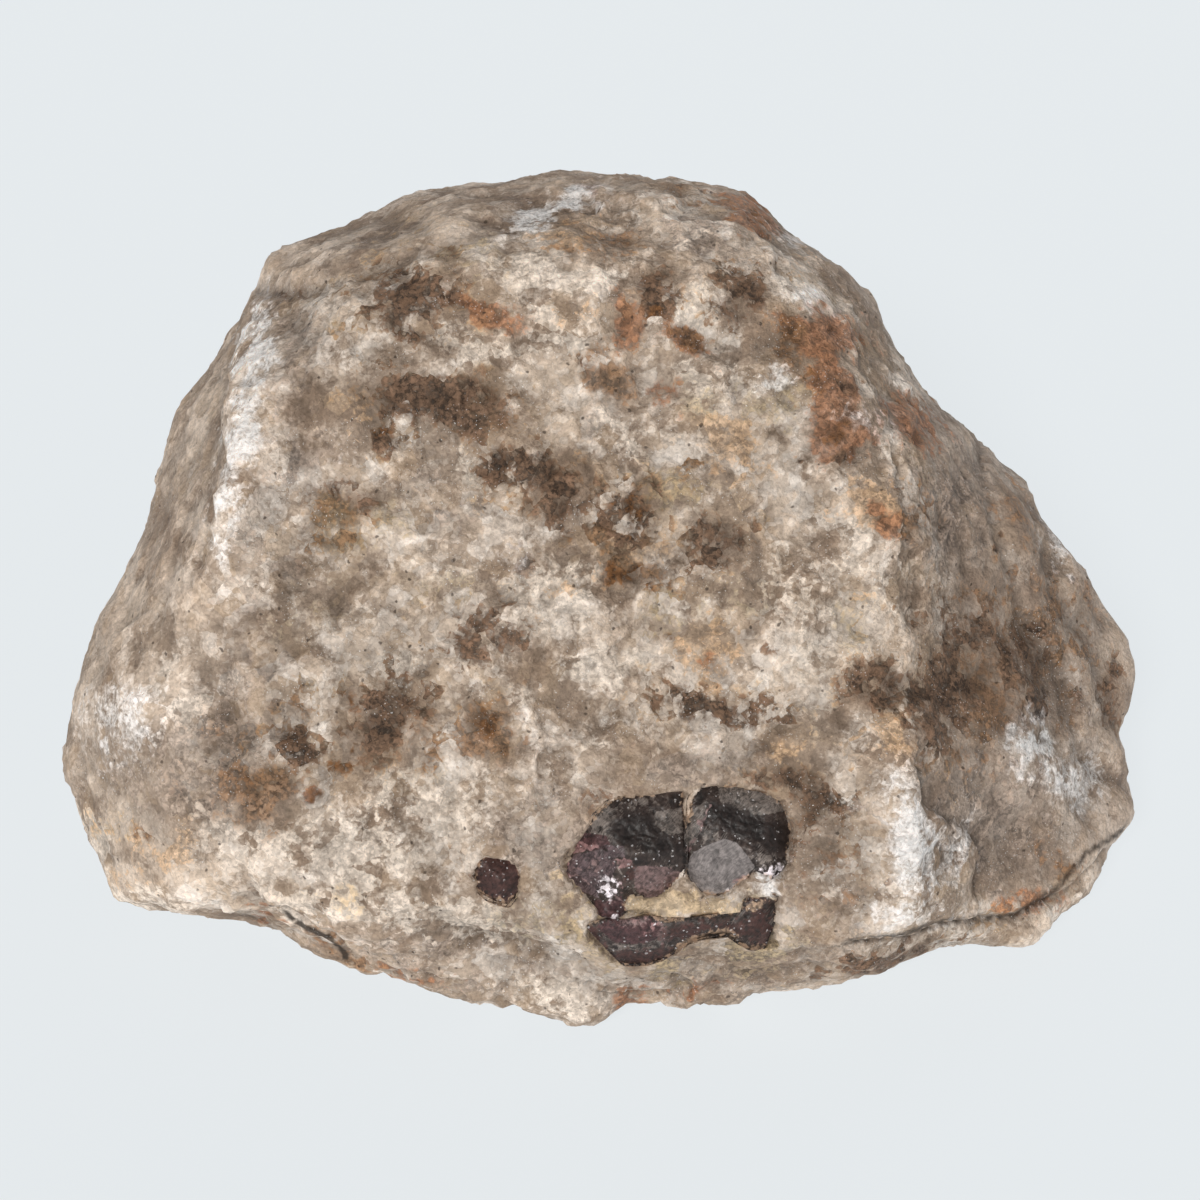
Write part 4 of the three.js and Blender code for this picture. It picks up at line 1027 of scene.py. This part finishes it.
def rockMaterial():
    constants = {"Specular IOR Level": 0.2, "IOR": 1.5}
    material, tree, shader = newMaterial("granular rock", constants)
    paint = Paint(tree)
    warped = paint.wavering(0.9, 0.7)
    fine = paint.cloud(grains["fine"], detail=3.0, shift=0.57)
    _, plate, _, _ = paint.cells(grains["plate"], warped)
    _, big, bigFlake, bigWarm = paint.cells(grains["big"], warped)
    _, middling, _, _ = paint.cells(grains["middling"], warped)
    hill, little, littleFlake, _ = paint.cells(grains["little"], warped)
    spot, tiny, chosen, strength = paint.cells(grains["tiny"], warped)
    # Two mixtures of them, about 0 to 1: one mostly of fine grains, one mostly of flakes.
    mottle = big * 0.26 + middling * 0.16 + little * 0.2 + fine * 0.75 + tiny * 0.1 - 0.24
    flaky = big * 0.42 + middling * 0.3 + little * 0.14 + fine * 0.3 - 0.08

    calm = paint.layer("calm")
    tone = (paint.layer("tone") * 0.5 + mottle * 0.55).between(0.2, 0.85)
    colour = paint.start.flat(linear(stone["shade"])).towards(linear(stone["light"]), tone)
    clear = (paint.layer("clear") + (mottle - 0.5) * 0.7).between(0.2, 0.9)
    colour = colour.towards(linear(stone["clear"]), clear * 0.6)
    colour = colour.towards(linear(stone["warm"]), bigWarm.between(0.5, 1.0) * 0.3)
    flake = bigFlake.between(0.68, 0.7) * 0.42 + littleFlake.between(0.64, 0.7) * 0.34
    flake = flake + plate.between(0.8, 0.82) * 0.3
    colour = colour.towards(linear(stone["flake"]), flake * tone.between(0.1, 0.8) * (1.0 - calm))
    # Painted shade on the flanks and on the strips behind the top ridges, which face away from the light.
    colour = colour.towards(linear(stone["paintedShade"]), paint.layer("paintedShade") * 0.7)

    variety = (fine * 1.5 + little * 0.45 + tiny * 0.35 - 0.65).between(0.1, 0.9)
    for kind, facts in patchKinds.items():
        strong = paint.layer(kind)
        breaks = mottle * facts["grain"] + flaky * (1.0 - facts["grain"])
        covered = strong * 1.4 + (breaks - 0.5) * facts["broken"] - 0.76
        half = facts["edge"] / 2
        mask = covered.between(-half, half) * strong.between(0.04, 0.25)
        stain = paint.grained(facts["colour"], facts["deep"], facts["pale"], variety)
        core = 1.0 - strong.between(0.5, 1.1) * mottle * facts["core"]
        colour = colour.towards(stain * core, mask * facts["limit"])

    # The grains' lightness varies at random, and each small grain is darker towards its border: painted
    # shade between the grains.
    lightness = 0.77 + 0.22 * fine + 0.26 * tiny - 0.2 * hill + 0.13 * big + 0.15 * middling + 0.09 * little
    # Painted shade in the surface's hollows and painted light on its sharp edges; then the listed darker and
    # paler places, and the grains' lightness.
    colour = colour * (1.0 - paint.layer("hollow") * 0.28) * (1.0 - paint.layer("shade")) * lightness
    fromSpeck, chance, _, _ = paint.cells(grains["speck"], warped)
    speck = fromSpeck.between(0.16, 0.08) * chance.between(0.6, 0.64)
    colour = colour.towards(linear(stone["speck"]), speck * 0.75)
    # Painted shadow in the cracks and along the steps.
    crack = (paint.layer("crack") * 1.3 + fine * 0.6 - 0.4).between(0.1, 0.8)
    colour = colour.towards(linear(stone["crack"]), crack * 0.9)
    # Painted glints: tiny white sparkles put into the colour where the crystal grains would catch the light.
    dust = paint.cloud(grains["dust"], detail=2.0, shift=0.2)
    glint = (spot + 0.25 * strength + 0.9 * (dust - 0.5)).between(0.44, 0.3)
    glint = glint * (chosen * 0.6 + paint.layer("twinkle") * 0.4).between(0.64, 0.7)
    # The white along the ridges, partly frosted crust and partly painted highlight, with painted glints in
    # its grains.
    frostAndHighlight = paint.layer("frostAndHighlight")
    frostGlints = (frostAndHighlight * 0.5 + chosen * 0.6 - calm * 0.1).between(0.66, 0.74) * frostAndHighlight.between(0.15, 0.9)
    glints = (glint * 0.85 * strength + frostGlints * 0.5).between(0.0, 1.0)
    colour = colour.towards(linear(stone["glint"]), glints * 0.9)

    tree.links.new(colour.socket, shader.inputs["Base Color"])
    roughness = 0.62 + 0.3 * (fine - 0.5) - 0.2 * glint
    tree.links.new(roughness.socket, shader.inputs["Roughness"])
    bumps = paint.cloud(grains["relief"], detail=4.0, rough=0.68) - 0.24 * hill + 0.16 * little
    tree.links.new(paint.bump(bumps * (1.0 - calm * 0.6), 0.9, 0.6).socket, shader.inputs["Normal"])
    return material


# The sizes of what the garnets' colour is mixed from, in millimetres, and how the streaks run: length,
# thickness, and turn in degrees.
splinters = {"broad": 1.9, "sliver": 0.6, "fine": 0.5, "glint": 0.42, "dust": 0.16,
             "streaks": (1.5, 0.16, 48.0)}


def garnetMaterial():
    constants = {"IOR": 1.6, "Specular IOR Level": 0.24}
    material, tree, shader = newMaterial("almandine", constants)
    paint = Paint(tree)
    fine = paint.cloud(splinters["fine"], detail=3.0, shift=0.4)
    middling = paint.cloud(splinters["broad"], detail=4.0, shift=0.9)
    streaks = paint.strands(*splinters["streaks"])
    _, splinter, sliver, _ = paint.cells(splinters["sliver"], paint.wavering(1.4, 1.1))
    base = (middling * 0.6 + streaks * 0.35 + fine * 0.35 + sliver * 0.14).between(0.5, 0.88)
    colour = paint.start.flat(linear(facetBase["deep"])).towards(linear(facetBase["light"]), base)
    scratch = splinter.between(0.7, 0.95) * streaks.between(0.46, 0.62)
    colour = colour.towards(linear(facetKinds["grey"]["colour"]), scratch * 0.6)
    ragged = (middling - 0.5) * 1.0 + (fine - 0.5) * 1.0 + (sliver - 0.5) * 0.3
    for kind, facts in facetKinds.items():
        strong = paint.layer(kind)
        mask = (strong + ragged * facts.get("ragged", 1.0)).between(0.36, 0.7) * strong.between(0.04, 0.3)
        # The white flecks, partly crust and partly painted highlight, are broken into grains.
        if kind == "frostAndHighlight":
            mask = mask * (fine * 0.8 + sliver * 0.5).between(0.5, 0.76)
        texture = fine * (1.0 - facts["streaks"]) + streaks * facts["streaks"] + sliver * 0.16 - 0.08
        stain = paint.grained(facts["colour"], facts.get("deep", 0.62), 1.22, texture.between(0.3, 0.7))
        colour = colour.towards(stain, mask * facts["limit"])
    # Painted shade in the crystals' hollows and painted light on their sharp edges.
    colour = colour * (1.0 - 0.3 * paint.layer("hollow"))
    rim = (paint.layer("edge") * 0.9 + ragged * 1.3).between(0.66, 1.0)
    crumbs = (fine * 0.7 + sliver * 0.5).between(0.3, 0.8)
    crust = paint.grained(facetKinds["crust"]["colour"], 0.66, 1.2, crumbs)
    colour = colour.towards(crust, rim * 0.6)
    # Painted glints: small white sparkles put into the crystals' colour.
    spot, chosen, vivid, _ = paint.cells(splinters["glint"], paint.wavering(0.5, 0.25))
    dust = paint.cloud(splinters["dust"], detail=2.0, shift=0.2)
    glint = (spot + 0.32 * vivid + 0.9 * (dust - 0.5)).between(0.42, 0.3)
    glint = glint * (chosen * 0.7 + middling * 0.6).between(0.86, 0.92)
    glint = glint * (1.0 - paint.layer("slate")) * (0.3 + 0.65 * vivid)
    colour = colour.towards(linear(facetBase["glint"]), glint)
    tree.links.new(colour.socket, shader.inputs["Base Color"])
    roughness = 0.42 + 0.3 * (fine - 0.5) + 0.12 * paint.layer("slate") + 0.3 * rim
    tree.links.new(roughness.socket, shader.inputs["Roughness"])
    height = fine * 0.45 + streaks * 0.3 + middling * 0.3
    tree.links.new(paint.bump(height, 0.7, 0.25).socket, shader.inputs["Normal"])
    return material


# The camera, in millimetres, and how near and how far it sees, in metres.
view = {"lens": 85, "sensor": 36, "near": 0.01, "far": 20}


def makeCamera():
    camera = bpy.data.objects.new("camera", bpy.data.cameras.new("camera"))
    bpy.context.collection.objects.link(camera)
    camera.data.lens = view["lens"]
    camera.data.sensor_width = view["sensor"]
    camera.data.clip_start = view["near"]
    camera.data.clip_end = view["far"]
    camera.location = Vector(eye * mm)
    camera.rotation_mode = "QUATERNION"
    camera.rotation_quaternion = Vector(-outward).to_track_quat("-Z", "Y")
    bpy.context.scene.camera = camera


# The sun lamps: where each shines from, its strength and its width in degrees.
lights = [
    {"name": "key", "from": (-0.22, -0.82, 0.6), "energy": 2.12, "angle": 14, "colour": (1.0, 0.975, 0.935)},
    {"name": "fill", "from": (0.8, -0.6, 0.35), "energy": 0.25, "angle": 60, "colour": (0.96, 0.98, 1.0)},
    {"name": "rear", "from": (0.3, 0.9, 0.5), "energy": 0.5, "angle": 60, "colour": (1.0, 1.0, 1.0)},
]
surround = {"colour": (0.92, 0.96, 1.0), "strength": 0.22}
floor = {"size": 6.0, "colour": (234, 239, 242), "glow": 0.84}


def makeLights():
    for light in lights:
        lamp = bpy.data.objects.new(light["name"], bpy.data.lights.new(light["name"], "SUN"))
        lamp.data.energy = light["energy"]
        lamp.data.angle = math.radians(light["angle"])
        lamp.data.color = light["colour"]
        lamp.rotation_mode = "QUATERNION"
        lamp.rotation_quaternion = Vector(light["from"]).to_track_quat("Z", "Y")
        bpy.context.collection.objects.link(lamp)
    world = bpy.data.worlds.new("surround")
    bpy.context.scene.world = world
    world.use_nodes = True
    sky = next(n for n in world.node_tree.nodes if n.type == "BACKGROUND")
    sky.inputs["Color"].default_value = (*surround["colour"], 1.0)
    sky.inputs["Strength"].default_value = surround["strength"]
    bpy.context.scene.view_settings.view_transform = "Standard"


def makeFloor():
    half = floor["size"] / 2
    mesh = bpy.data.meshes.new("floor")
    corners = [(-half, -half, 0), (half, -half, 0), (half, half, 0), (-half, half, 0)]
    mesh.from_pydata(corners, [], [(0, 1, 2, 3)])
    pale = linear(floor["colour"])
    material, _, _ = newMaterial("pale floor", {
        "Roughness": 0.9, "Specular IOR Level": 0.1,
        "Base Color": (*[c * (1 - floor["glow"]) for c in pale], 1.0),
        "Emission Color": (*pale, 1.0), "Emission Strength": floor["glow"]})
    mesh.materials.append(material)
    ground = bpy.data.objects.new("floor", mesh)
    bpy.context.collection.objects.link(ground)


makeCamera()
makeRock(rockMaterial())
almandine = garnetMaterial()
for name, facts in garnets.items():
    makeGarnet(name, facts, almandine)
makeLights()
makeFloor()
print("the floor, lights and camera are set")
